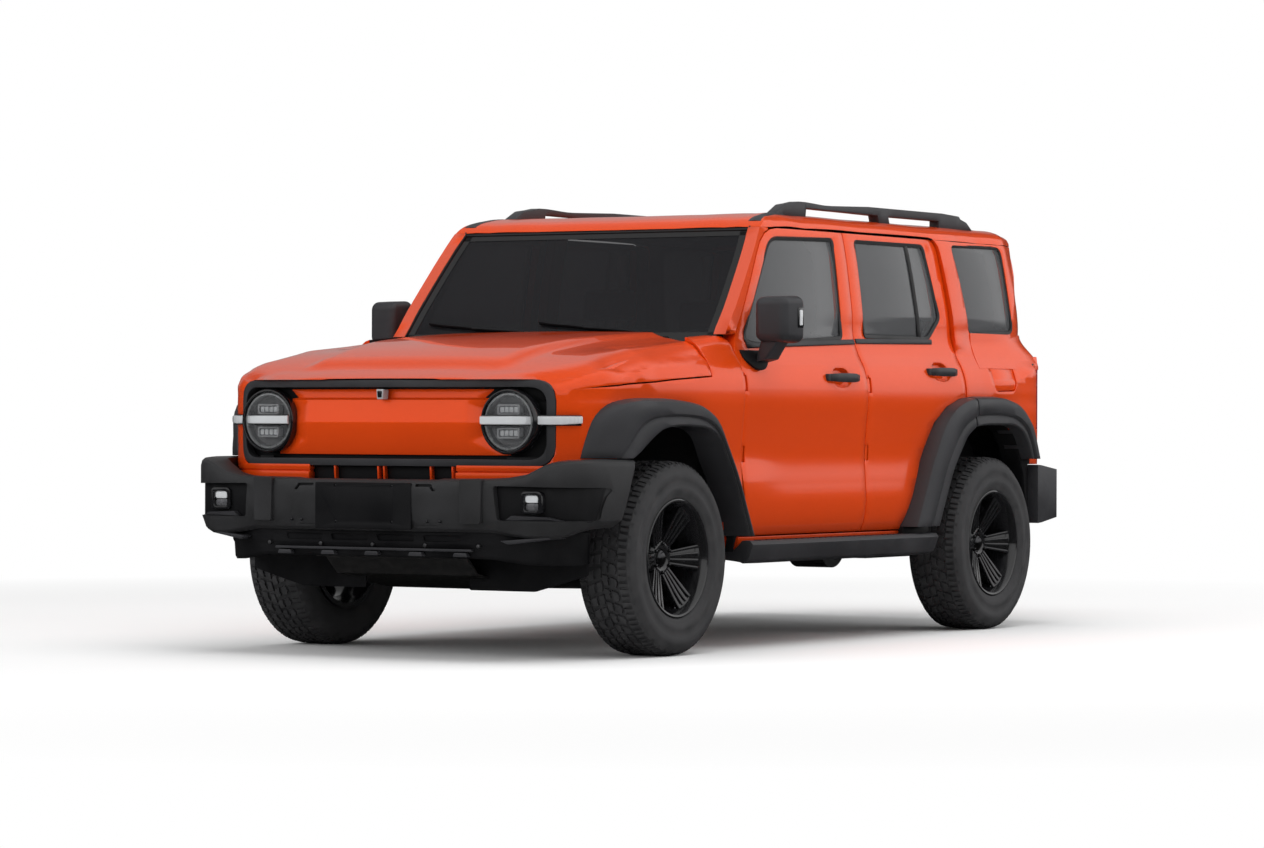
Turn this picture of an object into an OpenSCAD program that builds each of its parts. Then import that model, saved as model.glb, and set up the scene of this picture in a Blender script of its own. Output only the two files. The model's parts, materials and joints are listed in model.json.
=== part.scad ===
// Lifted off-road 4x4 with five doors and a spare wheel on its tailgate.
// Front is towards -Y, the car's left side is +X, and the ground is Z = 0.
// Outlines in side view are [station, height] points, with stations measured
// rearwards from the front axle.

/* [Overall] */
// Length from the front bumper to the spare wheel's cover
overall_length = 4760; // [4500:10:5000]
// Distance between the axles
wheelbase = 2750; // [2700:10:2850]
// Front axle to the front bumper's face
front_overhang = 860; // [820:10:900]
// Half of the width over the body's shoulder
body_half_width = 900; // [880:5:930]
// Height of the roof's crown
roof_height = 1838; // [1800:5:1900]
// Depth of a flare's lip beyond the body's shoulder
flare_depth = 65; // [40:5:90]

/* [Wheels] */
// Outer radius of the tyres
tyre_radius = 388; // [370:2:400]
// Width of the tyres
tyre_width = 265; // [235:5:285]
// Radius of the wheel rims at the bead
rim_radius = 228; // [210:2:240]
// Middle of the tyre to the car's middle plane
half_track = 804; // [780:2:820]
// Kingpin axis to the middle of the tyre
kingpin_offset = 74; // [60:2:90]
// Radius of the hub's spigot
spigot_radius = 32; // [26:1:40]

/* [Panels] */
// Thickness of the doors and body sides below the belt
wall = 100; // [80:5:130]
// Thickness of the window frames and pillars
frame_wall = 56; // [45:1:70]
// Thickness of the roof, hood and fenders
skin = 36; // [25:1:45]
// Gap between one panel and the next
panel_gap = 6; // [5:0.5:9]
// Thickness of the glass
glass = 5; // [4:0.5:8]
// Depth of the glass below the outer skin
glass_inset = 14; // [8:1:20]
// Clearance between fixed pieces that sit against each other
seat_gap = 0.3; // [0.2:0.05:0.5]

/* [Hinges] */
// Radius of the hinge pins
pin_radius = 7; // [5:0.5:9]
// Radial clearance of a pin in its bore
pin_clearance = 0.05; // [0.02:0.01:0.1]
// Radius of a hinge knuckle, and of a door's rounded leading edge
knuckle_radius = 13; // [12:0.5:16]

/* [Chassis] */
// Middle of a frame rail to the car's middle plane
rail_offset = 395; // [360:5:400]
// Width of a frame rail
rail_width = 76; // [60:2:90]
// Height of a frame rail
rail_height = 130; // [110:5:150]
// Underside of the frame rails
rail_bottom = 400; // [380:5:420]
// Radius of the rear axle's tube
axle_radius = 44; // [38:1:52]

/* [Cabin] */
// Top of the cabin floor
floor_top = 560; // [550:5:580]
// Thickness of the floor and firewall
floor_wall = 22; // [16:1:30]
// Radius of the steering wheel
steering_wheel_radius = 185; // [170:5:195]
// Slope of the steering column from level
column_slope = 24; // [15:1:30]

/* [Hidden] */
$fn = 48;
tiny = 0.01;
far = 3000;
axle_z = tyre_radius;
front_axle_y = -overall_length / 2 + front_overhang;
rear_axle_y = front_axle_y + wheelbase;
kingpin_x = half_track - kingpin_offset;

paint = "orangered";
plastic = [0.13, 0.13, 0.14];
dark = [0.05, 0.05, 0.055];
steel = [0.25, 0.25, 0.27];
lens = [0.75, 0.78, 0.8];
tint = [0.2, 0.22, 0.24, 0.6];
cloth = [0.17, 0.17, 0.18];

// ---- Stations of the panel joints, from the front axle ----
door_front = 552;      // leading edge of the front doors
door_split = 1610;     // joint between the front and rear doors
door_rear_top = 2454;  // trailing edge of the rear doors at the roof
door_rear_belt = 2521; // trailing edge of the rear doors at the belt
sill_top = 462;        // lower edge of the doors
belt = 1285;           // lower edge of the side windows
gate_station = 3405;   // outer face of the tailgate below its window
gate_hinge_x = 792;    // tailgate hinge axis from the middle plane
gate_bottom = 752;
cowl_station = 446;    // rear edge of the hood
hood_hinge_z = 1256;
hood_hinge_station = 462;
hinge_x = body_half_width - knuckle_radius + 1;
front_hinge = door_front + panel_gap / 2 + knuckle_radius;
rear_hinge = door_split + panel_gap / 2 + knuckle_radius;
hinge_heights = [800, 1090];
hinge_length = 56;

// ---- Curves: the body's half section, its plan and its side profile ----
// Half widths are given inboard of the shoulder, so they follow body_half_width.
side_curve = [[400, 56], [450, 44], [500, 24], [600, 9], [680, 13], [780, 19], [900, 11], [1030, 0],
              [1110, 6], [1170, 24], [1225, 52], [1285, 73], [1400, 81], [1527, 96], [1650, 114], [1745, 134]];
roof_curve = [[1772, 143], [1790, 165], [1806, 205], [1818, 300], [1830, 560], [1838, 900]];
function shoulder(inset) = [for (p = side_curve) [body_half_width - p[1] - inset, p[0]]];
function roof_half(inset) = [for (p = roof_curve) [max(0, body_half_width - p[1] - inset),
                             p[0] + roof_height - 1838 - inset]];
function flip(points) = [for (i = [len(points) - 1:-1:0]) [-points[i][0], points[i][1]]];
function whole_section(inset) = let (half = concat(shoulder(inset), roof_half(inset)))
    concat(half, [for (p = flip(half)) if (p[0] < -tiny) p]);

// A side wall between two depths below the skin.
function wall_section(outer, inner) = concat(shoulder(outer),
    [for (i = [len(side_curve) - 1:-1:0]) [body_half_width - side_curve[i][1] - inner, side_curve[i][0]]]);
// The same, thinner above the belt, for doors and pillars.
function depth_at(z) = z < 1170 ? wall : (z > belt - 1 ? frame_wall : wall - (wall - frame_wall) * (z - 1170) / (belt - 1170));
function door_section(outer) = concat(shoulder(outer),
    [for (i = [len(side_curve) - 1:-1:0])
        [body_half_width - side_curve[i][1] - depth_at(side_curve[i][0]), side_curve[i][0]]]);

function plan_half(inset) = [[0, -742 + inset], [430, -722 + inset], [620, -690 + inset], [738, -645 + inset],
    [818 - inset / 2, -585 + inset / 2], [866 - inset, -500 + inset / 2], [888 - inset, -330],
    [body_half_width - inset, -120], [body_half_width - inset, 2700], [892 - inset, 3050],
    [866 - inset, 3300 - inset / 2], [820 - inset / 2, 3372 - inset], [700, 3398 - inset], [0, 3404 - inset]];
// Upper profile from the nose over the hood, windscreen and roof to the tailgate.
function profile(inset) = [[-760 + inset, 300], [-760 + inset, 1040 - inset], [-735 + inset, 1078 - inset],
    [-690, 1100 - inset], [-600, 1136 - inset], [-430, 1186 - inset], [-150, 1237 - inset],
    [250, 1272 - inset], [cowl_station, 1284 - inset], [520 + inset, 1284 - inset],
    [905 + inset, 1742 - inset], [960 + inset, 1778 - inset], [1060, 1803 - inset], [1300, 1820 - inset],
    [1800, 1834 - inset], [2400, 1839 - inset], [2900, 1832 - inset], [3100, 1818 - inset],
    [3230 - inset / 2, 1796 - inset], [3300 - inset, 1762 - inset], [3320 - inset, 1720 - inset],
    [3352 - inset, 1300], [3384 - inset, 1232], [3404 - inset, 1180], [3404 - inset, 300]];
// Above the belt, the rear corners are rounder.
function upper_plan(inset) = [[0, -900], [1000, -900], [1000, 2900], [body_half_width - 68 - inset, 2960],
    [body_half_width - 80 - inset, 3120], [body_half_width - 104 - inset, 3230],
    [body_half_width - 140 - inset, 3304 - inset / 2], [body_half_width - 200, 3342 - inset], [0, 3362 - inset]];

// ---- Outline tools ----
function unit(v) = v / norm(v);
// Moves every edge of a counter-clockwise outline inwards by g.
function inset(p, g) = let (n = len(p)) [for (i = [0:n - 1])
    let (u = unit(p[i] - p[(i + n - 1) % n]), v = unit(p[(i + 1) % n] - p[i]),
         a = [-u[1], u[0]], b = [-v[1], v[0]]) p[i] + g * (a + b) / (1 + a * b)];
// Rounds each corner by a smooth curve that starts r before it and ends r after it.
function soften(p, r, steps = 4) = let (n = len(p)) [for (i = [0:n - 1])
    let (q = is_list(r) ? r[i] : r, a = p[i] + q * unit(p[(i + n - 1) % n] - p[i]),
         c = p[i] + q * unit(p[(i + 1) % n] - p[i]))
    for (k = [0:(q > 0 ? steps : 0)]) let (s = k / steps)
        q > 0 ? (1 - s) * (1 - s) * a + 2 * s * (1 - s) * p[i] + s * s * c : p[i]];

// Outline in [station, height], extruded across the car.
module across(points, x0, x1) {
    translate([x0, front_axle_y, 0]) rotate([90, 0, 90]) linear_extrude(x1 - x0) polygon(points);
}
// Outline in [x, height], extruded between two stations.
module along(points, s0, s1) {
    translate([0, front_axle_y + s1, 0]) rotate([90, 0, 0]) linear_extrude(s1 - s0) polygon(points);
}
// Outline in [x, station], extruded between two heights.
module upward(points, z0, z1) {
    translate([0, front_axle_y, z0]) linear_extrude(z1 - z0) polygon(points);
}
module block(x0, x1, s0, s1, z0, z1) {
    translate([x0, front_axle_y + s0, z0]) cube([x1 - x0, s1 - s0, z1 - z0]);
}
module rod_x(x0, x1, station, z, r) {
    translate([x0, front_axle_y + station, z]) rotate([0, 90, 0]) cylinder(h = x1 - x0, r = r);
}
module rod_z(x, station, z0, z1, r) {
    translate([x, front_axle_y + station, z0]) cylinder(h = z1 - z0, r = r);
}
module rod_y(x, s0, s1, z, r) {
    translate([x, front_axle_y + s1, z]) rotate([90, 0, 0]) cylinder(h = s1 - s0, r = r);
}
module both_sides() {
    children();
    mirror([1, 0, 0]) children();
}

// ---- Outlines in side view ----
front_aperture = [[door_front, 690], [door_front + 60, sill_top], [door_split, sill_top], [door_split, 1752],
                  [919, 1746], [600, 1280], [door_front, 1225]];
front_aperture_r = [60, 30, 0, 0, 130, 40, 40];
rear_aperture = [[door_split, sill_top], [2172, sill_top], [2183, 494], [2312, 723], [2440, 868], [door_rear_belt + 2, 908],
                 [door_rear_belt, 1290], [door_rear_top, 1752], [door_split, 1752]];
rear_aperture_r = [0, 10, 10, 60, 40, 10, 60, 70, 0];
front_window = [[668, 1262], [770, 1247], [1506, 1286], [1516, 1718], [965, 1706], [676, 1300]];
front_window_r = [12, 40, 24, 26, 70, 22];
rear_window = [[1704, 1296], [2294, 1296], [2416, 1392], [2338, 1719], [1703, 1717]];
rear_window_r = [24, 30, 30, 30, 26];
quarter_window = [[2696, 1325], [3130, 1340], [3100, 1736], [2582, 1728]];
quarter_window_r = 45;
front_arch = [[-500, 200], [-440, 640], [-346, 745], [-240, 862], [-150, 906], [0, 915], [188, 907],
              [275, 872], [396, 696], [540, 440], [560, 200]];
rear_arch = [[2160, 200], [2183, 494], [2312, 723], [2440, 868], [2530, 912], [2640, 920], [2894, 921],
             [2990, 893], [3070, 820], [3110, 700], [3140, 470], [3150, 200]];
front_flare = [[-690, 788], [-610, 950], [-500, 1006], [-330, 1024], [-60, 1024], [130, 1005], [250, 955],
               [410, 730], [546, 466], [512, 466], [396, 696], [275, 872], [188, 907], [0, 915], [-150, 906],
               [-240, 862], [-346, 745], [-372, 716], [-372, 788]];
rear_flare_outer = [[1956, 476], [2110, 760], [2229, 930], [2330, 1000], [2450, 1036], [2560, 1048],
                    [2808, 1048], [2973, 1014], [3110, 918], [3187, 765]];
rear_flare_inner = [[3096, 765], [3070, 820], [2990, 893], [2894, 921], [2640, 920], [2530, 912],
                    [2440, 868], [2312, 723], [2177, 476]];
gate_outline = [[-gate_hinge_x + 20, gate_bottom], [gate_hinge_x - 20, gate_bottom], [gate_hinge_x - 20, 1240],
                [700, 1765], [-700, 1765], [-gate_hinge_x + 20, 1240]];

function front_door_outline(g) = soften(inset(front_aperture, g), front_aperture_r);
function rear_door_outline(g) = soften(inset(rear_aperture, g), rear_aperture_r);
// ---- Body shell ----
module body_solid(depth) {
    intersection() {
        along(whole_section(depth), -900, 3500);
        upward(mirrored(plan_half(depth)), 300, 2000);
        across(profile(depth), -1000, 1000);
        union() {
            block(-1000, 1000, -1000, 3500, 200, 1236);
            upward(mirrored(upper_plan(depth)), 1235, 2000);
        }
    }
}
// A whole outline from its half at positive x.
function mirrored(half) = concat(half, [for (i = [len(half) - 1:-1:0]) if (half[i][0] > tiny) [-half[i][0], half[i][1]]]);
module shell(depth) {
    difference() {
        body_solid(0);
        body_solid(depth);
    }
}

// Long box sections under the doors.
module sills() {
    color(paint) both_sides() difference() {
        along([[body_half_width - 52, 408], [body_half_width - 40, sill_top - panel_gap / 2],
               [body_half_width - wall - 50, sill_top - panel_gap / 2],
               [body_half_width - wall - 50, floor_top - floor_wall - seat_gap],
               [body_half_width - wall - 120, floor_top - floor_wall - seat_gap],
               [body_half_width - wall - 120, 408]], 580, 2150);
        across(inset(rear_arch, -12), 500, 1000);
    }
}

module hinge(x, station, z) {
    rod_z(x, station, z - hinge_length / 2 - 14, z + hinge_length / 2 + 14, pin_radius);
    rod_z(x, station, z - hinge_length / 2, z + hinge_length / 2, knuckle_radius - 2);
}
// Room in a door for a hinge's knuckle and strap, and the bores for its pin.
module hinge_room(x, station, z) {
    block(x - 60, x + 40, station - 40, station + knuckle_radius + 5,
          z - hinge_length / 2 - 5.5, z + hinge_length / 2 + 5.5);
    rod_z(x, station, z - hinge_length / 2 - 14.5, z + hinge_length / 2 + 14.5, pin_radius + pin_clearance);
}

// Front and middle door pillars, with the door hinges on them.
module door_pillars() {
    color(paint) both_sides() union() {
        difference() {
            union() {
                intersection() {
                    along(door_section(0), 300, 1100);
                    across([[540, 1290 + seat_gap], [645, 1290 + seat_gap], [975, 1744.4], [905.2, 1744.4],
                            [525, 1290 + seat_gap]], 600, 1000);
                }
                intersection() {
                    along(wall_section(skin + 1.5, wall), 484, door_front - panel_gap / 2);
                    block(hood_edge + panel_gap, 1000, 400, 600, 470, 1248 - seat_gap);
                }
            }
            across(front_door_outline(-panel_gap / 2), 500, 1100);
            across(inset(front_arch, -12), 500, 1000);
        }
        for (z = hinge_heights) {
            hinge(hinge_x, front_hinge, z);
            upward([for (p = [[2, -8], [2, 6], [-44, -8], [-56, -22], [-56, -66], [-45, -66], [-45, -16]])
                    p + [hinge_x, front_hinge]], z - hinge_length / 2 + 6, z + hinge_length / 2 - 6);
            hinge(hinge_x, rear_hinge, z);
            block(hinge_x - wall - 20, hinge_x - 2, rear_hinge - 10, rear_hinge + 4, z - hinge_length / 2 + 6,
                  z + hinge_length / 2 - 6);
        }
        // Middle pillar stands inside the doors, whose trailing edge closes over it.
        intersection() {
            along(pillar_section(panel_gap), door_split - 50, door_split + 50);
            body_solid(skin + seat_gap);
        }
    }
}
// The middle pillar's section, just inside the doors, from the floor to the roof.
function pillar_heights() = concat([floor_top - floor_wall], [for (p = side_curve) if (p[0] > floor_top) p[0]], [1800]);
function pillar_section(gap) = let (heights = pillar_heights()) concat(
    [for (z = heights) [body_half_width - lookup(z, side_curve) - depth_at(z) - gap, z]],
    [for (i = [len(heights) - 1:-1:0])
        [body_half_width - lookup(heights[i], side_curve) - depth_at(heights[i]) - gap - 40, heights[i]]]);

// Rear corners of the body, around the side windows of the load space.
module rear_quarters() {
    color(paint) both_sides() difference() {
        intersection() {
            union() {
                along(door_section(0), 2100, 3200);
                along(wall_section(0, 190), 3199, 3500);
            }
            upward(concat([[0, 2100], [body_half_width, 2100]], [for (p = plan_half(0)) if (p[1] > 2600) p]),
                   300, 1744.4);
            across([[2500, 470], [3404, 470], [3404, 1180], [3384, 1232], [3352, 1300], [3318.1, 1744.4],
                    [2430, 1744.4], [2500, 1290]], 0, 1000);
            union() {
                block(0, 1000, 2000, 3500, 200, 1236);
                upward(upper_plan(0), 1235, 2000);
            }
        }
        across(rear_door_outline(-panel_gap / 2), 0, 1000);
        across(soften(quarter_window, quarter_window_r), 0, 1000);
        across(inset(rear_arch, -2), 0, 1000);
        gate_cut();
        block(0, 1000, 3150, 3420, 300, gate_bottom - 12);
        block(800, 1000, 3250, 3420, 900, 1190);
    }
}

module roof_panel() {
    color(paint) difference() {
        intersection() {
            shell(skin);
            block(-900, 900, 820, 3300, 1745, 2000);
        }
        across(front_door_outline(-panel_gap / 2), -1000, 1000);
        across(rear_door_outline(-panel_gap / 2), -1000, 1000);
        block(-1000, 1000, 0, 3500, 0, 1744.7);
        gate_cut();
    }
}

module front_fenders() {
    color(paint) difference() {
        intersection() {
            shell(skin);
            block(-1000, 1000, -800, 600, 300, 1290);
        }
        across(front_door_outline(-panel_gap / 2), -1000, 1000);
        block(-1000, 1000, door_front - panel_gap / 2, 700, 300, 2000);
        hood_region(panel_gap);
        grille_opening(seat_gap);
        across(front_arch, -1000, 1000);
        bumper_cut();
        block(-700, 700, -900, 900, 0, 2000);
        block(-hood_edge - panel_gap, hood_edge + panel_gap, -400, 700, 0, 2000);
    }
}
// Everything above the hood's lower edge. Its outer parts stop ahead of its middle.
hood_edge = 774;
module hood_region(gap) {
    across([[-900, 1046 - gap], [-690, 1055 - gap], [289 + gap, 1118 - gap], [266 + gap, 1400], [-900, 1400]],
           -1000, 1000);
    block(-hood_edge - gap, hood_edge + gap, 100, cowl_station + gap, 1118, 1400);
}

// Front panel between the headlamps, with its raised surround.
module grille_opening(g) {
    along(soften([[-752 - g, 752 - g], [752 + g, 752 - g], [752 + g, 1092 + g], [-752 - g, 1092 + g]], 80),
          -900, -500);
}
module grille_panel() {
    color(paint) difference() {
        intersection() {
            difference() {
                body_solid(0);
                body_solid(70);
            }
            grille_opening(0);
            block(-1000, 1000, -900, -560, 700, 1200);
        }
        both_sides() rod_y(577, -900, -500, 930, lamp_radius + seat_gap);
    }
}

module hood() {
    color(paint) difference() {
        intersection() {
            shell(skin);
            hood_region(0);
        }
        grille_opening(panel_gap);
        for (x = [-1, 1]) hood_hinge_room(x * 620);
    }
    color(steel) for (x = [-1, 1]) hood_hinge_ear(x * 620);
}
module hood_hinge_ear(x) {
    difference() {
        union() {
            rod_x(x - 20, x + 20, hood_hinge_station, hood_hinge_z, 12);
            block(x - 20, x + 20, hood_hinge_station - 90, hood_hinge_station, hood_hinge_z - 11, hood_hinge_z - 3);
            block(x - 20, x + 20, hood_hinge_station - 90, hood_hinge_station - 66, hood_hinge_z - 11, 1248);
        }
        rod_x(x - 21, x + 21, hood_hinge_station, hood_hinge_z, pin_radius + pin_clearance);
    }
}
module hood_hinge_room(x) {
    block(x - 20, x + 20, hood_hinge_station - 30, hood_hinge_station + 20, hood_hinge_z - 20, hood_hinge_z + 14);
}

// Scuttle between the hood and the windscreen, with the hood's hinge pins.
module cowl() {
    color(plastic) union() {
        difference() {
            block(-hood_edge - panel_gap + seat_gap, hood_edge + panel_gap - seat_gap, cowl_station + panel_gap, 548, 1196, 1262);
            windscreen_cut();
            for (x = [-1, 1]) block(x * 620 - 26, x * 620 + 26, 300, hood_hinge_station + 24, 1100, 1300);
        }
        difference() {
            block(-740, 740, 500, 548, 900, 1196);
            block(-640, 640, 470, 530, 800, 1180);
        }
        for (x = [-1, 1]) rod_x(x * 620 - 30, x * 620 + 30, hood_hinge_station, hood_hinge_z, pin_radius);
    }
}

// The windscreen leans back between the front pillars.
ws_low = [500, 1262];
ws_high = [905.2, 1744.4];
module windscreen_cut() {
    across([[ws_low[0] - 60, ws_low[1]], [ws_low[0] + 40, ws_low[1]], [ws_high[0] + 40, ws_high[1]],
            [ws_high[0] - 60, ws_high[1]]], -668, 668);
}
module windscreen() {
    color(tint) intersection() {
        across([[ws_low[0] + 16, ws_low[1] + seat_gap], [ws_low[0] + 16 + glass, ws_low[1] + seat_gap],
                [ws_high[0] + 16 + glass, ws_high[1] - seat_gap], [ws_high[0] + 16, ws_high[1] - seat_gap]],
               -800, 800);
        along(cabin_section(seat_gap), 400, 1100);
    }
}
// The space between the two sides of the cabin, above the belt.
function cabin_section(gap) = let (half = [for (p = side_curve) if (p[0] > 1200)
    [body_half_width - p[1] - depth_at(p[0]) - gap, p[0]]]) concat(half, flip(half));
module quarter_glass() {
    color(tint) both_sides() intersection() {
        along(wall_section(glass_inset, glass_inset + glass), 2400, 3300);
        across(soften(inset(quarter_window, seat_gap), quarter_window_r), 0, 1000);
    }
}

// ---- Doors ----
// Keeps a door's leading edge within a circle about its hinge axis.
module leading_edge(station) {
    upward(concat([[0, 4000], [0, station - 40], [hinge_x, station - 40]],
                  [for (a = [270:15:360]) [hinge_x + knuckle_radius * cos(a), station + knuckle_radius * sin(a)]],
                  [[hinge_x + knuckle_radius, 4000]]), 0, 2000);
}
module front_door() {
    difference() {
        intersection() {
            along(door_section(0), 500, 1700);
            across(front_door_outline(panel_gap / 2), 0, 1000);
            leading_edge(front_hinge);
        }
        across(soften(front_window, front_window_r), 0, 1000);
        for (z = hinge_heights) hinge_room(hinge_x, front_hinge, z);
        // The inner edge is set back, to pass the rear door as it opens.
        along(wall_section(18, 180), door_split - panel_gap / 2 - 8, 1700);
    }
}
module front_glass() {
    intersection() {
        along(wall_section(glass_inset, glass_inset + glass), 500, 1700);
        across(soften(inset(front_window, seat_gap), front_window_r), 0, 1000);
    }
}
module rear_door() {
    difference() {
        union() {
            intersection() {
                along(door_section(0), 1500, 2700);
                across(rear_door_outline(panel_gap / 2), 0, 1000);
                leading_edge(rear_hinge);
            }
            intersection() {
                flare_ring(concat(rear_flare_outer, rear_flare_inner), 5);
                across(rear_door_outline(panel_gap / 2), 0, 1000);
            }
        }
        intersection() {
            along(wall_section(18, 180), 2300, 2700);
            difference() {
                block(0, 1000, 2300, 2700, 400, 2000);
                across(rear_door_outline(panel_gap / 2 + 10), 0, 1000);
            }
        }
        across(soften(rear_window, rear_window_r), 0, 1000);
        for (z = hinge_heights) rear_hinge_room(z);
    }
}
// The middle pillar's hinge straps reach forwards to their pins, through the front of the rear door.
module rear_hinge_room(z) {
    block(hinge_x - wall - 20, hinge_x + 40, rear_hinge - 40, rear_hinge + knuckle_radius + 5,
          z - hinge_length / 2 - 5.5, z + hinge_length / 2 + 5.5);
    rod_z(hinge_x, rear_hinge, z - hinge_length / 2 - 14.5, z + hinge_length / 2 + 14.5,
          pin_radius + pin_clearance);
}
module rear_glass() {
    intersection() {
        along(wall_section(glass_inset, glass_inset + glass), 1500, 2700);
        across(soften(inset(rear_window, seat_gap), rear_window_r), 0, 1000);
    }
}
module front_door_left() { color(paint) front_door(); }
module front_door_right() { color(paint) mirror([1, 0, 0]) front_door(); }
module rear_door_left() { color(paint) rear_door(); }
module rear_door_right() { color(paint) mirror([1, 0, 0]) rear_door(); }
module front_glass_left() { color(tint) front_glass(); }
module front_glass_right() { color(tint) mirror([1, 0, 0]) front_glass(); }
module rear_glass_left() { color(tint) rear_glass(); }
module rear_glass_right() { color(tint) mirror([1, 0, 0]) rear_glass(); }

// Door mirror: a housing on a short arm that stands on the door below its window.
module mirror_unit() {
    difference() {
        union() {
            upward(soften([[900, 628], [1052, 650], [1052, 750], [900, 730]], 24), 1262, 1450);
            upward([[880, 640], [960, 652], [960, 722], [880, 716]], 1215, 1263);
            upward([[840, 610], [905, 620], [960, 655], [955, 735], [900, 790], [840, 790]], 1165, 1216);
        }
        along(concat(shoulder(-seat_gap), [[0, 1745], [0, 400]]), 400, 900);
    }
}
module mirror_left() { color(plastic) mirror_unit(); }
module mirror_right() { color(plastic) mirror([1, 0, 0]) mirror_unit(); }

// ---- Tailgate ----
// The opening that the tailgate closes, with its gap.
module gate_cut() {
    along(inset(gate_outline, -panel_gap), 3000, 3500);
}
module tailgate() {
    color(paint) difference() {
        union() {
            gate_layer(0, 22, 0, 3278);
            gate_layer(21, 90, 14, 3222);
            for (z = gate_hinges) {
                upward([[-gate_hinge_x - 20, 3405], [-765, 3405], [-764, 3390], [-700, 3390], [-700, 3416],
                        [-gate_hinge_x - 20, 3418]], z - 26, z + 26);
                rod_z(-gate_hinge_x - 20, gate_axis, z - 26, z + 26, knuckle_radius);
            }
            // Carrier for the spare wheel.
            rod_y(0, gate_station - 4, 3660, spare_z, 70);
            block(-150, 150, gate_station - 4, gate_station + 30, spare_z - 150, spare_z + 150);
        }
        along(soften(gate_window, 50), 3000, 3500);
        for (z = gate_hinges)
            rod_z(-gate_hinge_x - 20, gate_axis, z - 30, z + 30, pin_radius + pin_clearance);
    }
}
gate_axis = 3418;
gate_hinges = [850, 1130];
module tailgate_hinges() {
    color(paint) for (z = gate_hinges) {
        rod_z(-gate_hinge_x - 20, gate_axis, z - 40, z + 40, pin_radius);
        for (h = [z - 42, z + 27])
            difference() {
                upward([[-850, 3330], [-800, 3330], [-795, 3430], [-828, 3430]], h, h + 15);
                upward(concat([for (p = plan_half(-seat_gap)) if (p[1] > 3000) [-p[0], p[1]]], [[0, 3000], [-900, 3000]]),
                       700, 1300);
            }
    }
}
// The tailgate's inner layer is narrower, so its free edge clears the body as it opens.
module gate_layer(outer, inner, narrower, foremost) {
    intersection() {
        along(inset(gate_outline, narrower), 3100, 3450);
        difference() {
            body_solid(outer);
            across(concat([[2500, 1818 - inner]], [for (p = profile(inner)) if (p[0] > 3040) p], [[2500, 300]]),
                   -1000, 1000);
        }
        block(-1000, 1000, foremost, 3450, 600, 2000);
    }
}
gate_window = [[-600, 1345], [600, 1345], [570, 1700], [-570, 1700]];
module tailgate_glass() {
    color(tint) intersection() {
        along(soften(inset(gate_window, seat_gap), 50), 3000, 3500);
        difference() {
            across(profile(glass_inset), -1000, 1000);
            across(profile(glass_inset + glass), -1000, 1000);
        }
    }
}
spare_z = 1115;
module spare_wheel() {
    translate([0, overall_length / 2, spare_z]) rotate([90, 0, 0]) {
        color(plastic) difference() {
            union() {
                cylinder(h = 20, r1 = 250, r2 = 300);
                translate([0, 0, 20]) rotate_extrude($fn = 96) polygon([[90, 0], [tyre_radius - 60, 0],
                    [tyre_radius - 8, 40], [tyre_radius, 90], [tyre_radius, 150], [tyre_radius - 8, 200],
                    [tyre_radius - 60, 245], [rim_radius, 245], [rim_radius - 20, 160], [90, 120]]);
            }
        }
        color(dark) translate([0, 0, 20]) cylinder(h = 220 - seat_gap, r = 90);
    }
}

// ---- Lamps ----
module tail_lamps() {
    color("darkred") both_sides() intersection() {
        block(800.3, 1000, 3250.3, 3500, 900.3, 1189.7);
        body_solid(0);
    }
}
lamp_radius = 115;
module headlamps() {
    color(lens) {
        both_sides() rod_y(577, -706, -640, 930, lamp_radius);
        both_sides() rod_y(770, -785, -745, 640, 36);
    }
}

// ---- Bumpers, flares and steps ----
module bumper_cut() {
    along([[-1000, 0], [1000, 0], [1000, 752], [-1000, 752]], -900, -390);
}
front_bumper_plan = [[-330, -860], [330, -860], [350, -850], [520, -845], [560, -835], [800, -800], [905, -730],
                     [950, -640], [958, -400], [800, -400], [800, -560], [620, -640], [-620, -640], [-800, -560],
                     [-800, -400], [-958, -400], [-950, -640], [-905, -730], [-800, -800], [-560, -835],
                     [-520, -845], [-350, -850]];
module front_bumper() {
    color(plastic) difference() {
        union() {
            upward(front_bumper_plan, 480, 751.7);
            // Lower valance, stepped back under the beam.
            upward([[-560, -800], [560, -800], [760, -700], [790, -560], [560, -620], [-560, -620],
                    [-790, -560], [-760, -700]], 400, 481);
        }
        across(inset(front_arch, -10), -1000, 1000);
        both_sides() rod_y(770, -900, -745, 640, 36 + seat_gap);
        both_sides() block(690, 850, -900, -775, 560, 700);
    }
}
module rear_bumper() {
    color(plastic) difference() {
        upward([[-400, 3500], [-420, 3545], [-800, 3545], [-880, 3500], [-935, 3380], [-935, 3170], [-850, 3170],
                [-850, 3415], [850, 3415], [850, 3170], [935, 3170], [935, 3380], [880, 3500], [800, 3545],
                [420, 3545], [400, 3500]], 470, 738);
        across(inset(rear_arch, -10), -1000, 1000);
        across([[3000, 300], [3300, 300], [3600, 560], [3600, 300]], -1000, 1000);
    }
}
module flare_ring(points, overlap) {
    difference() {
        across(points, body_half_width - 60, body_half_width + flare_depth);
        along(concat(shoulder(overlap), [[0, 1745], [0, 400]]), -900, 3500);
    }
}
module front_flares() {
    color(plastic) both_sides() intersection() {
        flare_ring(front_flare, -seat_gap);
        upward([[700, -700], [905, -640], [body_half_width + 58, -520], [body_half_width + flare_depth, -380],
                [body_half_width + flare_depth, 700], [700, 700]], 300, 1200);
    }
}
module rear_flares() {
    color(plastic) both_sides() difference() {
        flare_ring(concat(rear_flare_outer, rear_flare_inner), -seat_gap);
        across(rear_door_outline(-panel_gap / 2), 500, 1100);
        block(500, 1100, 1900, 2500, 300, 1100);
    }
}
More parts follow.
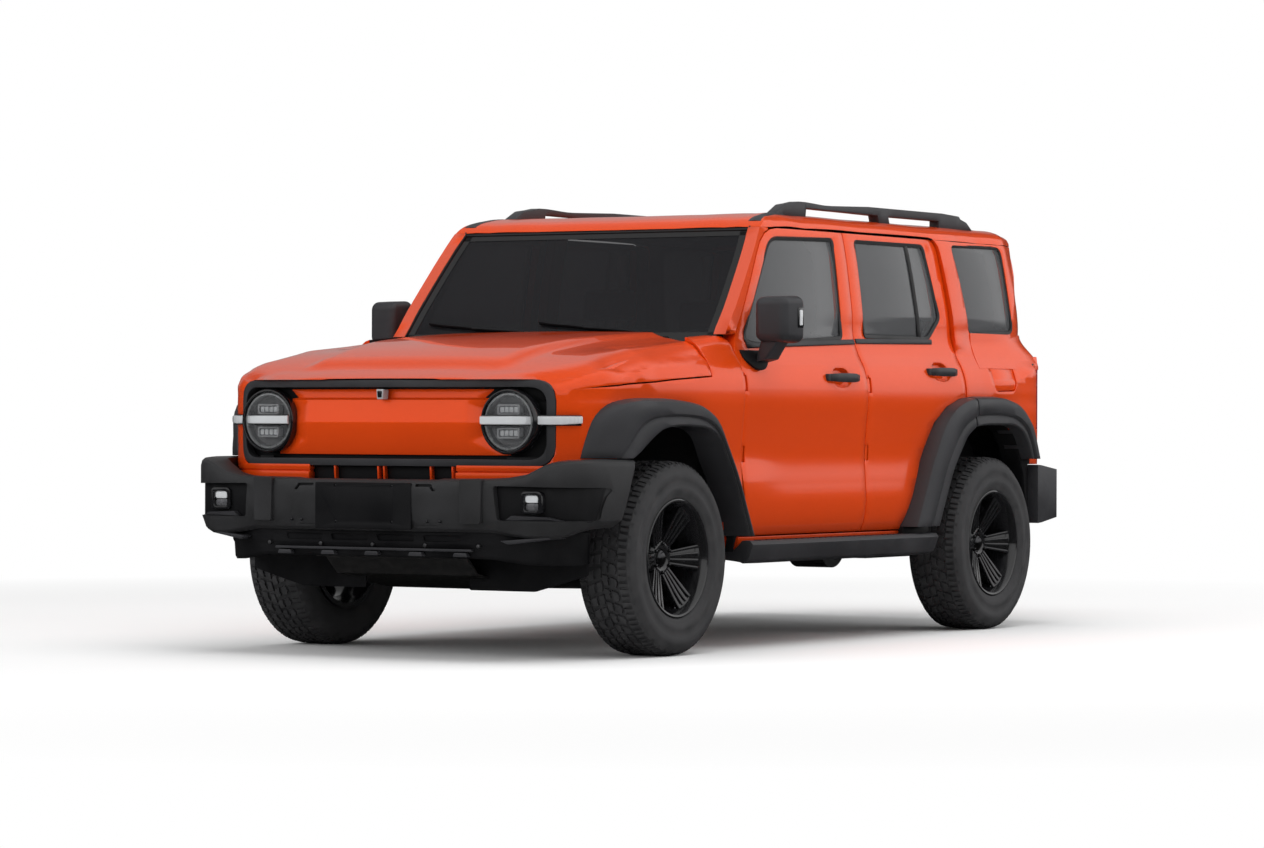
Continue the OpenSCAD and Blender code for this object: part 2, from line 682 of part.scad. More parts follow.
module running_boards() {
    color(plastic) both_sides() {
        difference() {
            along([[800, 366], [935, 352], [960, 366], [960, 430], [944, 446], [888, 446], [851, 408 - seat_gap],
                   [800, 408 - seat_gap]], 560, 2236);
            across(inset(rear_arch, -8), 500, 1100);
            across(inset(front_arch, -8), 500, 1100);
        }
        for (s = [900, 1850]) block(rail_offset + rail_width / 2 + seat_gap, 810, s, s + 60, 385, 408 - seat_gap);
    }
}
// Roof rails stand on the roof on a foot at each end and one near the middle.
rail_line = [[1180, 1784], [1330, 1862], [1420, 1872], [2700, 1903], [2860, 1896], [3060, 1806]];
module roof_rails() {
    color(plastic) both_sides() difference() {
        across([[1180, 1750], [1330, 1862], [1420, 1884], [2000, 1903], [2700, 1903], [2860, 1896], [3060, 1750]],
               640, 690);
        across([[1480, 1700], [1490, 1848], [2080, 1862], [2100, 1700]], 600, 700);
        across([[2200, 1700], [2180, 1864], [2660, 1866], [2640, 1700]], 600, 700);
        body_solid(-seat_gap);
    }
}

// ---- Chassis ----
module ladder_frame() {
    color(dark) {
        both_sides() {
            block(rail_offset - rail_width / 2, rail_offset + rail_width / 2, -560, 2080, rail_bottom,
                  rail_bottom + rail_height);
            // The rails rise over the rear axle.
            across([[2079, rail_bottom], [2079, rail_bottom + rail_height], [3120, rail_bottom + rail_height],
                    [3120, rail_bottom + 50], [2420, rail_bottom + 50]],
                   rail_offset - rail_width / 2, rail_offset + rail_width / 2);
            // Body mounts between the rails and the floor.
            for (s = [600, 1300, 2200, 2980])
                block(rail_offset - 30, rail_offset + 30, s, s + 60, rail_bottom + rail_height - 1,
                      floor_top - floor_wall - seat_gap);
        }
        for (s = [-540, 820, 1500, 2060])
            block(-rail_offset, rail_offset, s, s + 70, rail_bottom + 10, rail_bottom + 90);
        block(-rail_offset, rail_offset, 3050, 3120, rail_bottom + 55, rail_bottom + rail_height);
        // Horns that carry the bumpers.
        both_sides() block(rail_offset - 30, rail_offset + 30, -640 + seat_gap, -559, rail_bottom + 84, rail_bottom + 130);
        both_sides() block(rail_offset - 30, rail_offset + 30, 3119, 3415 - seat_gap, rail_bottom + 72, rail_bottom + 125);
    }
}
module front_suspension() {
    color(dark) {
        // Lower arms, from the frame rails to the kingpins.
        both_sides() difference() {
            union() {
                upward([[360, -150], [360, -90], [kingpin_x - 10, 18], [kingpin_x - 10, -18]], 262, 292);
                upward([[360, 90], [360, 150], [kingpin_x - 10, 18], [kingpin_x - 10, -18]], 262, 292);
                rod_z(kingpin_x, 0, 262, 292, 22);
                block(362, 428, -150, -90, 292, rail_bottom - seat_gap);
                block(362, 428, 90, 150, 292, rail_bottom - seat_gap);
            }
            rod_z(kingpin_x, 0, 250, 300, 14 + pin_clearance);
        }
        // Front differential and the half shafts' inner ends.
        rod_x(-80, 80, 20, 372, 104);
        rod_x(-330, 330, 20, 372, 34);
        block(-360, 360, -150, -90, 262, 292);
        block(-30, 30, -120, -60, 280, 372);
    }
}
module knuckle() {
    rod_z(kingpin_x, 0, 262, 297 + 240, 14);
    rod_z(kingpin_x, 0, 297, 297 + 220, 36);
    rod_x(kingpin_x, half_track + 40, 0, axle_z, spigot_radius);
    // Brake disc and caliper.
    rod_x(kingpin_x + 28, kingpin_x + 44, 0, axle_z, 150);
    intersection() {
        translate([kingpin_x + 6, front_axle_y, axle_z]) rotate([0, 90, 0]) difference() {
            cylinder(h = 50, r = 168);
            translate([0, 0, -1]) cylinder(h = 52, r = 96);
        }
        block(600, 900, 40, 300, axle_z - 70, axle_z + 70);
    }
}
module knuckle_left() { color(steel) knuckle(); }
module knuckle_right() { color(steel) mirror([1, 0, 0]) knuckle(); }

module rear_axle() {
    color(dark) {
        rod_x(-700, 700, wheelbase, axle_z, axle_radius);
        both_sides() rod_x(699, half_track + 40, wheelbase, axle_z, spigot_radius);
        both_sides() rod_x(kingpin_x + 22, kingpin_x + 40, wheelbase, axle_z, 150);
        rod_x(-90, 90, wheelbase, axle_z, 128);
        rod_y(0, 760, wheelbase, axle_z - 7, 26);
        // Springs between the axle and the rails, and the trailing links.
        both_sides() rod_z(rail_offset, wheelbase, axle_z, rail_bottom + 50 - seat_gap, 26);
        both_sides() block(560, 600, 2140, wheelbase, axle_z - 60, axle_z - 20);
        both_sides() block(rail_offset + rail_width / 2 + seat_gap, 600, 2140, 2180, axle_z - 60, rail_bottom + 60);
    }
}
module engine_block() {
    color(steel) {
        block(-220, 220, -460, 240, 530, 1020);
        block(-130, 130, 239, 800, 500, 535);
        rod_y(0, 200, 820 - seat_gap, 470, 62);
        // Mounts on the frame rails.
        block(-rail_offset + rail_width / 2 + seat_gap, rail_offset - rail_width / 2 - seat_gap, -60, 0, 490, 540);
    }
}
module exhaust() {
    color(steel) {
        rod_y(250, 700, 2200, rail_bottom + 90 + seat_gap + 22, 22);
        rod_y(250, 2150, 2600, 484, 52);
    }
}
module fuel_tank() {
    color(dark) block(-345, -60, 1570.3, 2059.7, 330, 520);
}
module skid_plate() {
    color(dark) across([[-700, 392], [-640, 392], [-560, 322], [-200, 253.7], [-80, 253.7], [-80, 261.7],
                        [-200, 261.7], [-556, 330], [-630, 399.7], [-700, 399.7]], -340, 340);
}

// ---- Floor and cabin ----
module floor_tub() {
    color(dark) difference() {
        union() {
            block(-730, 730, 540, 3380, floor_top - floor_wall, floor_top);
            block(-730, 730, 548 + seat_gap, 548 + floor_wall, floor_top - 1, 1196);
            block(-745, 745, 3358, 3398, floor_top - 1, 739.7);
        }
        across(inset(rear_arch, -2), 656, 1000);
        across(inset(rear_arch, -2), -1000, -656);
    }
}
// The part of an arch's outline above a height, closed along it.
function above(points, z) = let (top = [for (p = points) if (p[1] > z) p])
    concat([[top[0][0], z]], top, [[top[len(top) - 1][0], z]]);
// Inner arches over the four wheels.
module wheel_housings() {
    color(dark) both_sides() {
        difference() {
            across(above(inset(rear_arch, -16), floor_top + seat_gap), 640,
                   body_half_width - wall - 19 - seat_gap);
            across(inset(rear_arch, -2), 656, 900);
            block(body_half_width - wall - 25, 900, 2000, 2535, 300, 1000);
        }
        difference() {
            across([for (p = above(inset(front_arch, -10), 500)) [max(p[0], -392), p[1]]],
                   rail_offset + rail_width / 2 + seat_gap,
                   body_half_width - skin - 38 - seat_gap);
            across(inset(front_arch, -2), 452, 900);
            block(700, 900, 478, 700, 300, 1200);
        }
    }
}
module dashboard() {
    color(cloth) difference() {
        across(soften([[570.3, 780], [760, 760], [820, 980], [800, 1130], [700, 1190], [570.3, 1190]], 30),
               -728, 728);
        at_column() translate([0, 0, -115]) cylinder(h = 200, r = column_radius + pin_clearance);
    }
}
module seat(width, station) {
    w = width / 2;
    across(soften([[station, floor_top + seat_gap], [station + 440, floor_top + seat_gap], [station + 440, 800], [station + 20, 840],
                   [station, 760]], 40), -w, w);
    across(soften([[station + 400, 760], [station + 520, 760], [station + 660, 1330], [station + 560, 1350]], 30),
           -w, w);
    across(soften([[station + 562, 1335], [station + 656, 1320], [station + 690, 1500], [station + 590, 1510]], 30),
           -w / 2, w / 2);
}
module front_seats() { color(cloth) for (x = [-370, 370]) translate([x, 0, 0]) seat(500, 930); }
module rear_seat() { color(cloth) seat(1240, 1790); }
column_radius = 18;
// Puts a shape on the steering column, with +Z pointing at the driver.
module at_column() {
    translate([-370, front_axle_y + 860, 1065]) rotate([column_slope - 90, 0, 0]) children();
}
module steering_wheel() {
    color(dark) at_column() {
        rotate_extrude() translate([steering_wheel_radius - 16, 0]) circle(r = 16);
        for (a = [0, 90, 180]) rotate([0, 0, a]) translate([0, -14, -8]) cube([steering_wheel_radius - 18, 28, 12]);
        translate([0, 0, -20]) cylinder(h = 36, r = 60);
        translate([0, 0, -110]) cylinder(h = 91, r = column_radius);
    }
}

// ---- Wheels ----
// A wheel's axis is X, its face is outwards, and its middle is at the origin.
module rim_shape() {
    rotate([0, 90, 0]) difference() {
        rotate_extrude($fn = 96) polygon([[rim_radius - 12, -118], [rim_radius + 8, -118], [rim_radius, -98],
            [rim_radius - 18, -40], [rim_radius - 18, 60], [rim_radius, 100], [rim_radius + 8, 118],
            [rim_radius - 12, 118], [rim_radius - 24, 70], [spigot_radius + 40, 40], [spigot_radius + pin_clearance, 40],
            [spigot_radius + pin_clearance, -20], [spigot_radius + 40, -20], [rim_radius - 60, 30],
            [rim_radius - 32, 20], [rim_radius - 30, -40]]);
        for (a = [0:60:300]) rotate([0, 0, a + 30]) linear_extrude(400, center = true)
            polygon([[96, -22], [rim_radius - 48, -62], [rim_radius - 40, -20], [rim_radius - 40, 20],
                     [rim_radius - 48, 62], [96, 22]]);
    }
}
module tyre_shape() {
    half = tyre_width / 2;
    rotate([0, 90, 0]) rotate_extrude($fn = 96) polygon([
        [rim_radius + 9, -half + 22], [rim_radius + 60, -half + 2], [rim_radius + 105, -half],
        [tyre_radius - 26, -half + 12], [tyre_radius - 6, -half + 26], [tyre_radius, -half + 44],
        [tyre_radius, half - 44], [tyre_radius - 6, half - 26], [tyre_radius - 26, half - 12],
        [rim_radius + 105, half], [rim_radius + 60, half - 2], [rim_radius + 9, half - 22],
        [rim_radius + 9, 118], [rim_radius + 8.3, 117.6], [rim_radius + 0.4, 98], [rim_radius - 17.6, 60],
        [rim_radius - 17.6, -40], [rim_radius + 0.4, -98], [rim_radius + 8.3, -117.6], [rim_radius + 9, -118]]);
}
module at_wheel(side, y) {
    translate([side * half_track, y, axle_z]) mirror([side < 0 ? 1 : 0, 0, 0]) children();
}
module rim_front_left() { color(dark) at_wheel(1, front_axle_y) rim_shape(); }
module rim_front_right() { color(dark) at_wheel(-1, front_axle_y) rim_shape(); }
module rim_rear_left() { color(dark) at_wheel(1, rear_axle_y) rim_shape(); }
module rim_rear_right() { color(dark) at_wheel(-1, rear_axle_y) rim_shape(); }
module tyre_front_left() { color(plastic) at_wheel(1, front_axle_y) tyre_shape(); }
module tyre_front_right() { color(plastic) at_wheel(-1, front_axle_y) tyre_shape(); }
module tyre_rear_left() { color(plastic) at_wheel(1, rear_axle_y) tyre_shape(); }
module tyre_rear_right() { color(plastic) at_wheel(-1, rear_axle_y) tyre_shape(); }

ladder_frame();
front_suspension();
rear_axle();
engine_block();
exhaust();
fuel_tank();
skid_plate();
floor_tub();
wheel_housings();
sills();
door_pillars();
rear_quarters();
roof_panel();
front_fenders();
grille_panel();
cowl();
windscreen();
quarter_glass();
front_bumper();
rear_bumper();
front_flares();
rear_flares();
running_boards();
roof_rails();
headlamps();
tail_lamps();
dashboard();
front_seats();
rear_seat();
hood();
front_door_left();
front_door_right();
rear_door_left();
rear_door_right();
front_glass_left();
front_glass_right();
rear_glass_left();
rear_glass_right();
mirror_left();
mirror_right();
tailgate_hinges();
tailgate();
tailgate_glass();
spare_wheel();
knuckle_left();
knuckle_right();
rim_front_left();
rim_front_right();
rim_rear_left();
rim_rear_right();
tyre_front_left();
tyre_front_right();
tyre_rear_left();
tyre_rear_right();
steering_wheel();
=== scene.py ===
import json
import math

import bmesh
import bpy
import numpy as np
from mathutils import Matrix, Vector

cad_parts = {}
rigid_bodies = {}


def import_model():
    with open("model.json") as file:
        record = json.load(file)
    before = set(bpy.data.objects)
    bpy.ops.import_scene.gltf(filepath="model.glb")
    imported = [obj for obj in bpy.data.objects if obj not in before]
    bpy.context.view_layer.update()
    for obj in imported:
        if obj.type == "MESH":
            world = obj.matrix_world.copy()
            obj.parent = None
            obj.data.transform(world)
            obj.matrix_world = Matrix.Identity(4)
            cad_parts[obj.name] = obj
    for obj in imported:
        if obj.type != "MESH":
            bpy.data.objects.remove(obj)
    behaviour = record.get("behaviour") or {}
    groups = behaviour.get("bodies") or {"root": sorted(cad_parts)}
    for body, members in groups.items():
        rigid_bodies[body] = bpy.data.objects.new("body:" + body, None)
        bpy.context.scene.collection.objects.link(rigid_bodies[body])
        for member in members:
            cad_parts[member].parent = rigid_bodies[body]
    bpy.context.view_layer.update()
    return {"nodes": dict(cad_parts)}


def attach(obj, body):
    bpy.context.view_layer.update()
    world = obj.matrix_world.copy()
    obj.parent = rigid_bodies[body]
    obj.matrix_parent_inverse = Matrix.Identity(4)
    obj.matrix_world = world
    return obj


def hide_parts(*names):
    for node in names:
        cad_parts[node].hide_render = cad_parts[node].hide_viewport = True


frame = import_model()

AXLE_Y = -1.520  # the front axle; stations are millimetres behind it
REAR_AXLE = 2750
HALF_TRACK, TYRE_R, RIM_R = 804, 388, 228
HALF_WIDTH = 900
BELT = 1240  # height of the doors' upper edge, below the windows
ALONG, ACROSS, DOWN = (0, 1, 0), (1, 0, 0), Vector((0, 0, -1))

# ---------------------------------------------------------------- measures
# Lines of the bodywork, in millimetres. A station runs rearwards from the front axle.
SIDE = [(844, 400), (856, 450), (876, 500), (891, 600), (887, 680), (881, 780), (889, 900), (900, 1030),
        (894, 1110), (876, 1170), (848, 1225), (827, 1285), (819, 1400), (804, 1527), (786, 1650), (766, 1745),
        (757, 1772), (735, 1790), (695, 1806), (600, 1818), (340, 1830), (0, 1838)]
PLAN = [(0, -742), (430, -722), (620, -690), (738, -645), (818, -585), (866, -500), (888, -330), (900, -120),
        (900, 1200), (900, 2700), (892, 3050), (866, 3300), (820, 3372), (700, 3398), (0, 3404)]
UPPER_PLAN = [(900, 2000), (900, 2700), (832, 2960), (820, 3120), (796, 3230), (760, 3304), (700, 3342), (0, 3362)]
NOSE = [(-760, 1040), (-735, 1078), (-690, 1100), (-600, 1136), (-430, 1186), (-150, 1237), (250, 1272),
        (446, 1284)]
ROOF = [(905, 1742), (960, 1778), (1060, 1803), (1300, 1820), (1800, 1834), (2400, 1839), (2900, 1832),
        (3100, 1818), (3230, 1796), (3300, 1762), (3320, 1720), (3352, 1300), (3384, 1232), (3404, 1180),
        (3404, 740)]
FRONT_WINDOW = [(668, 1262), (770, 1247), (1506, 1286), (1516, 1718), (965, 1706), (676, 1300)]
FRONT_WINDOW_R = [12, 40, 24, 26, 70, 22]
REAR_WINDOW = [(1704, 1296), (2294, 1296), (2416, 1392), (2338, 1719), (1703, 1717)]
REAR_WINDOW_R = [24, 30, 30, 30, 26]
QUARTER_WINDOW = [(2696, 1325), (3130, 1340), (3100, 1736), (2582, 1728)]
GATE_WINDOW = [(-600, 1345), (600, 1345), (570, 1700), (-570, 1700)]


def place(x, station, z):
    """A point of the car, from its distance to the middle plane, its station and its height."""
    return Vector((x / 1000, station / 1000 + AXLE_Y, z / 1000))


def graph(value, at, values):
    """The height of a graph through the points (at, values)."""
    return float(np.interp(value, at, values))


def side_x(z):
    """Half width of the lower and upper body side at a height."""
    return np.interp(z, [p[1] for p in SIDE[:16]], [p[0] for p in SIDE[:16]])


def edge_plan(s):
    """Half width of the body, seen from above, at a station."""
    return graph(s, [p[1] for p in PLAN], [p[0] for p in PLAN])


def top_z(s):
    """Height of the hood's line at a station."""
    return np.interp(s, [p[0] for p in NOSE], [p[1] for p in NOSE])


def steps(a, b, gap):
    """Middles of even steps from a to b."""
    n = max(1, round((b - a) / gap))
    return [a + (b - a) * (i + 0.5) / n for i in range(n)]


def both_ways(a, b, gap):
    """The same on both sides of the middle plane."""
    return [v * h for v in steps(a, b, gap) for h in (1, -1)]


def around(mid, half, gap):
    return [mid - half + gap * k for k in range(int(2 * half / gap) + 1)]


def oblong(a, c, b, d):
    """The corners of a rectangle from (a, b) to (c, d)."""
    return [(a, b), (c, b), (c, d), (a, d)]


def soft_oblong(a, c, b, d, radius, count=5):
    return soften(oblong(a, c, b, d), radius, count)


def soften(points, radii, count=5):
    """An outline with each corner rounded, in `count` pieces."""
    out, n = [], len(points)
    for i, p in enumerate(points):
        r = radii[i] if isinstance(radii, (list, tuple)) else radii
        p = Vector(p)
        a, c = Vector(points[i - 1]) - p, Vector(points[(i + 1) % n]) - p
        if r <= 0:
            out.append(tuple(p))
            continue
        a, c = p + r * a.normalized(), p + r * c.normalized()
        for k in range(count + 1):
            t = k / count
            out.append(tuple((1 - t) ** 2 * a + 2 * t * (1 - t) * p + t * t * c))
    return out


def grow(points, g):
    """A closed outline moved outwards by g, or inwards where g is negative."""
    area = sum(a[0] * b[1] - b[0] * a[1] for a, b in zip(points, points[1:] + points[:1]))
    out, n = [], len(points)
    for i in range(n):
        u = (Vector(points[i]) - Vector(points[i - 1])).normalized()
        v = (Vector(points[(i + 1) % n]) - Vector(points[i])).normalized()
        a, b = Vector((u.y, -u.x)), Vector((v.y, -v.x))
        m = (a + b) / max(0.2, 1 + a.dot(b)) * (1 if area > 0 else -1)
        out.append(tuple(Vector(points[i]) + g * m))
    return out


# ---------------------------------------------------------------- bench tools
def clear():
    """Object mode, with nothing selected."""
    if bpy.context.object and bpy.context.object.mode == "EDIT":
        bpy.ops.object.mode_set(mode="OBJECT")
    bpy.ops.object.select_all(action="DESELECT")


def take(obj):
    """Selects one object and makes it active."""
    clear()
    obj.select_set(True)
    bpy.context.view_layer.objects.active = obj
    return obj


def edit(obj):
    """Opens an object with all of its points selected."""
    take(obj)
    bpy.ops.object.mode_set(mode="EDIT")
    bpy.ops.mesh.select_mode(type="VERT")
    bpy.ops.mesh.select_all(action="SELECT")


def done():
    bpy.ops.object.mode_set(mode="OBJECT")


def settle(obj, name=None):
    """Puts an object's place into its mesh."""
    take(obj)
    bpy.ops.object.transform_apply(location=True, rotation=True, scale=True)
    if name:
        obj.name = obj.data.name = name
    return obj


def outward(obj):
    edit(obj)
    bpy.ops.mesh.normals_make_consistent(inside=False)
    done()


def modify(obj, kind, **settings):
    take(obj)
    m = obj.modifiers.new(kind.title(), kind)
    for key, value in settings.items():
        setattr(m, key, value)
    bpy.ops.object.modifier_apply(modifier=m.name)
    return obj


def soft_edges(obj, width=2.0, segments=2, angle=32, shade=40):
    """Breaks the sharp edges and shades the rest smooth."""
    if width:
        modify(obj, "BEVEL", width=width / 1000, segments=segments, limit_method="ANGLE",
               angle_limit=math.radians(angle), use_clamp_overlap=True)
    take(obj)
    bpy.ops.object.shade_smooth_by_angle(angle=math.radians(shade))
    return obj


def board(name, points, axis, a, b):
    """A plate with an outline, drawn square to an axis from a to b.
    The outline is (station, height) for X, (x, height) for Y and (x, station) for Z."""
    n = len(points)
    clear()
    bpy.ops.mesh.primitive_circle_add(vertices=n, fill_type="NGON")
    obj = bpy.context.object
    where = {"X": lambda p, h: place(h, p[0], p[1]), "Y": lambda p, h: place(p[0], h, p[1]),
             "Z": lambda p, h: place(p[0], p[1], h)}[axis]
    for v, p in zip(obj.data.vertices, points):
        v.co = where(p, a)
    edit(obj)
    move = where(points[0], b) - where(points[0], a)
    bpy.ops.mesh.extrude_region_move(TRANSFORM_OT_translate={"value": tuple(move)})
    done()
    settle(obj, name)
    outward(obj)
    return obj


def block(name, x0, x1, s0, s1, z0, z1):
    clear()
    lo, hi = place(x0, s0, z0), place(x1, s1, z1)
    bpy.ops.mesh.primitive_cube_add(size=1, location=(lo + hi) / 2, scale=hi - lo)
    return settle(bpy.context.object, name)


def rod(name, a, b, r, sides=32, r2=None):
    """A round bar between two places."""
    clear()
    a, b = place(*a), place(*b)
    along = b - a
    bpy.ops.mesh.primitive_cone_add(vertices=sides, radius1=r / 1000, radius2=(r if r2 is None else r2) / 1000,
                                    depth=along.length, location=(a + b) / 2,
                                    rotation=along.to_track_quat("Z", "Y").to_euler())
    return settle(bpy.context.object, name)


def turned(name, profile, middle, axis, steps=64):
    """A turned piece. The profile is (radius, distance along the axis), closed when its ends meet."""
    clear()
    n = len(profile)
    bpy.ops.mesh.primitive_circle_add(vertices=n, fill_type="NOTHING")
    obj = bpy.context.object
    side = Vector((0, 0, 1)) if abs(axis[2]) < 0.9 else Vector((1, 0, 0))
    ax, m = Vector(axis), Vector(middle)
    for v, (r, h) in zip(obj.data.vertices, profile):
        v.co = m + ax * (h / 1000) + side * (max(r, 0.0) / 1000)
    bm = bmesh.new()
    bm.from_mesh(obj.data)
    ends = [e for e in bm.edges if {v.index for v in e.verts} == {0, n - 1}]
    bmesh.ops.delete(bm, geom=ends, context="EDGES")
    bm.to_mesh(obj.data)
    bm.free()
    edit(obj)
    bpy.ops.mesh.spin(steps=steps, angle=2 * math.pi, center=m, axis=ax)
    bpy.ops.mesh.select_all(action="SELECT")
    bpy.ops.mesh.remove_doubles(threshold=0.00005)
    bpy.ops.mesh.normals_make_consistent(inside=False)
    done()
    return settle(obj, name)


def strip(name, path, section, tilt):
    """A bar with a section, swept along a path of places."""
    clear()
    pts = [Vector(p) for p in path]
    n, m = len(pts), len(section)
    bm = bmesh.new()
    rings = []
    for i, p in enumerate(pts):
        before, after = pts[max(0, i - 1)], pts[min(n - 1, i + 1)]
        t = (after - before).normalized()
        up = Vector(tilt)
        out = (up - t * up.dot(t)).normalized()
        across = t.cross(out).normalized()
        k = 1 / max(0.35, abs((p - before).normalized().dot(t))) if 0 < i < n - 1 else 1.0
        rings.append([bm.verts.new(p + out * (v / 1000) + across * (u * k / 1000)) for u, v in section])
    for a, b in zip(rings, rings[1:]):
        for j in range(m):
            bm.faces.new((a[j], a[(j + 1) % m], b[(j + 1) % m], b[j]))
    bm.faces.new(rings[0])
    bm.faces.new(rings[-1][::-1])
    mesh = bpy.data.meshes.new(name)
    bm.to_mesh(mesh)
    bm.free()
    obj = bpy.data.objects.new(name, mesh)
    bpy.context.scene.collection.objects.link(obj)
    outward(obj)
    return obj


def cut(obj, *tools):
    """Takes tools out of a piece."""
    for tool in tools:
        take(obj)
        m = obj.modifiers.new("Cut", "BOOLEAN")
        m.operation, m.object, m.solver = "DIFFERENCE", tool, "EXACT"
        bpy.ops.object.modifier_apply(modifier=m.name)
        bpy.data.objects.remove(tool)
    return obj


def join(name, *objs):
    """Makes one piece of several."""
    take(objs[0])
    for o in objs[1:]:
        o.select_set(True)
    bpy.ops.object.join()
    obj = bpy.context.object
    obj.name = obj.data.name = name
    return obj


def twin(obj, name, matrix=None):
    """A copy with its own mesh, moved by a matrix, or on the car's other side."""
    copy = bpy.data.objects.new(name, obj.data.copy())
    copy.data.name = name
    bpy.context.scene.collection.objects.link(copy)
    flip = matrix is None
    copy.data.transform(Matrix.Scale(-1, 4, (1, 0, 0)) if flip else matrix)
    if flip:
        copy.data.flip_normals()
    return copy


def about(middle, angle, axis):
    """A turn about a line through a point."""
    return Matrix.Translation(middle) @ Matrix.Rotation(angle, 4, axis) @ Matrix.Translation(-middle)


def hand_name(h):
    return "left" if h > 0 else "right"


def fit(obj, body, slot, *finishes, stands_for=()):
    """Gives a finished piece its materials and its body. The slot is not used."""
    if finishes:
        kept = obj.data.materials
        while len(kept) < len(finishes):
            kept.append(None)
        while len(kept) > len(finishes):
            kept.pop(index=len(kept) - 1)
        for i, m in enumerate(finishes):
            kept[i] = m
    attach(obj, body)
    if stands_for:
        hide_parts(*stands_for)
    return obj


# ---------------------------------------------------------------- finishes
class Value:
    """A socket that takes part in arithmetic."""

    def __init__(self, network, socket):
        self.network, self.socket = network, socket

    def _maths(self, operation, a, b):
        return self.network.node("ShaderNodeMath", {"operation": operation}, {0: a, 1: b})

    def __add__(self, other): return self._maths("ADD", self, other)
    def __sub__(self, other): return self._maths("SUBTRACT", self, other)
    def __mul__(self, other): return self._maths("MULTIPLY", self, other)
    def __rmul__(self, other): return self._maths("MULTIPLY", other, self)


class Network:
    """The nodes of a material or of the world."""

    def __init__(self, tree):
        self.tree = tree
        self.tree.nodes.clear()

    def node(self, kind, settings=None, inputs=None, output=0):
        made = self.tree.nodes.new(kind)
        for key, value in (settings or {}).items():
            setattr(made, key, value)
        for key, value in (inputs or {}).items():
            if isinstance(value, Value):
                self.tree.links.new(value.socket, made.inputs[key])
            else:
                made.inputs[key].default_value = value
        return Value(self, made.outputs[output]) if made.outputs else made

    def ray(self, kind):
        """1 for the rays of one kind, such as "Is Camera Ray", and 0 for the rest."""
        return self.node("ShaderNodeLightPath", output=kind)

    def either(self, factor, a, b):
        return self.node("ShaderNodeMixShader", {}, {0: factor, 1: a, 2: b})


class Finish(Network):
    """A material under construction. Its shader's own sockets take the constants."""

    def __init__(self, name, **constants):
        self.material = bpy.data.materials.new(name)
        self.material.use_nodes = True
        super().__init__(self.material.node_tree)
        self.out = self.tree.nodes.new("ShaderNodeOutputMaterial")
        self.shader = self.tree.nodes.new("ShaderNodeBsdfPrincipled")
        self.tree.links.new(self.shader.outputs[0], self.out.inputs["Surface"])
        for key, value in constants.items():
            self.shader.inputs[key.replace("_", " ")].default_value = value

    def where(self):
        return self.node("ShaderNodeTexCoord", output="Object")

    def noise(self, scale, detail=4.0, rough=0.5):
        return self.node("ShaderNodeTexNoise", {},
                         {"Vector": self.where(), "Scale": scale, "Detail": detail, "Roughness": rough})

    def bands(self, scale, direction="X", **more):
        """Straight bands, as in a weave or a fluted lens."""
        return self.node("ShaderNodeTexWave", {"wave_type": "BANDS", "bands_direction": direction},
                         {"Vector": self.where(), "Scale": scale, **more})

    def tint(self, factor, low, high):
        return self.blend(factor, (*low, 1), (*high, 1))

    def spread(self, value, low, high, a=0.0, b=1.0):
        return self.node("ShaderNodeMapRange", {"clamp": True}, {0: value, 1: low, 2: high, 3: a, 4: b})

    def blend(self, factor, a, b):
        return self.node("ShaderNodeMix", {"data_type": "RGBA"}, {0: factor, 6: a, 7: b}, output=2)

    def feed(self, **links):
        for key, value in links.items():
            self.tree.links.new(value.socket, self.shader.inputs[key.replace("_", " ")])
        return self

    def bump(self, height, depth=0.0005, strength=1.0):
        made = self.node("ShaderNodeBump", {}, {"Height": height, "Distance": depth, "Strength": strength})
        return self.feed(Normal=made)

    def edge_wear(self):
        """Raised edges of the surface, from 0 on flats to 1 on edges."""
        point = self.node("ShaderNodeNewGeometry", output="Pointiness")
        return self.spread(point, 0.51, 0.56)


def body_paint():
    f = Finish("orange_body_paint", Metallic=0.27, IOR=1.45, Specular_IOR_Level=0.15, Coat_Roughness=0.02,
               Coat_IOR=1.5, Coat_Weight=0.76)
    speck = f.noise(1400.0, 2.0)
    broad = f.noise(2.1, 3.0)
    colour = f.blend(f.spread(speck, 0.35, 0.7), (0.84, 0.068, 0.004, 1), (0.94, 0.088, 0.007, 1))
    colour = f.blend(f.spread(broad, 0.3, 0.7, 0.0, 0.25), colour, (0.78, 0.059, 0.004, 1))
    f.feed(Base_Color=colour, Roughness=f.spread(speck, 0.3, 0.7, 0.24, 0.34))
    f.bump(f.noise(260.0, 2.0), 0.00002, 0.25)
    return f.material


def grained_plastic(name, low, high, rough=(0.42, 0.6), scale=900.0, depth=0.00012, ior=1.46):
    """Moulded plastic with a fine grain, slightly polished on its edges."""
    f = Finish(name, IOR=ior)
    grain = f.node("ShaderNodeTexVoronoi", {}, {"Vector": f.where(), "Scale": scale})
    patch = f.noise(6.0, 4.0)
    f.feed(Base_Color=f.tint(f.spread(patch, 0.3, 0.7), low, high),
           Roughness=f.spread(patch, 0.3, 0.7, *rough) - 0.12 * f.edge_wear())
    f.bump(grain, depth, 0.5)
    return f.material


def gloss_black(name="gloss_black", colour=(0.006, 0.006, 0.007), rough=0.12):
    f = Finish(name, IOR=1.5, Coat_Weight=0.6, Coat_Roughness=0.03)
    haze = f.noise(9.0, 5.0)
    f.feed(Base_Color=f.blend(haze, (*colour, 1), (*[1.6 * c for c in colour], 1)),
           Roughness=f.spread(haze, 0.3, 0.7, rough, rough + 0.1))
    f.bump(f.noise(180.0, 2.0), 0.00003, 0.3)
    return f.material


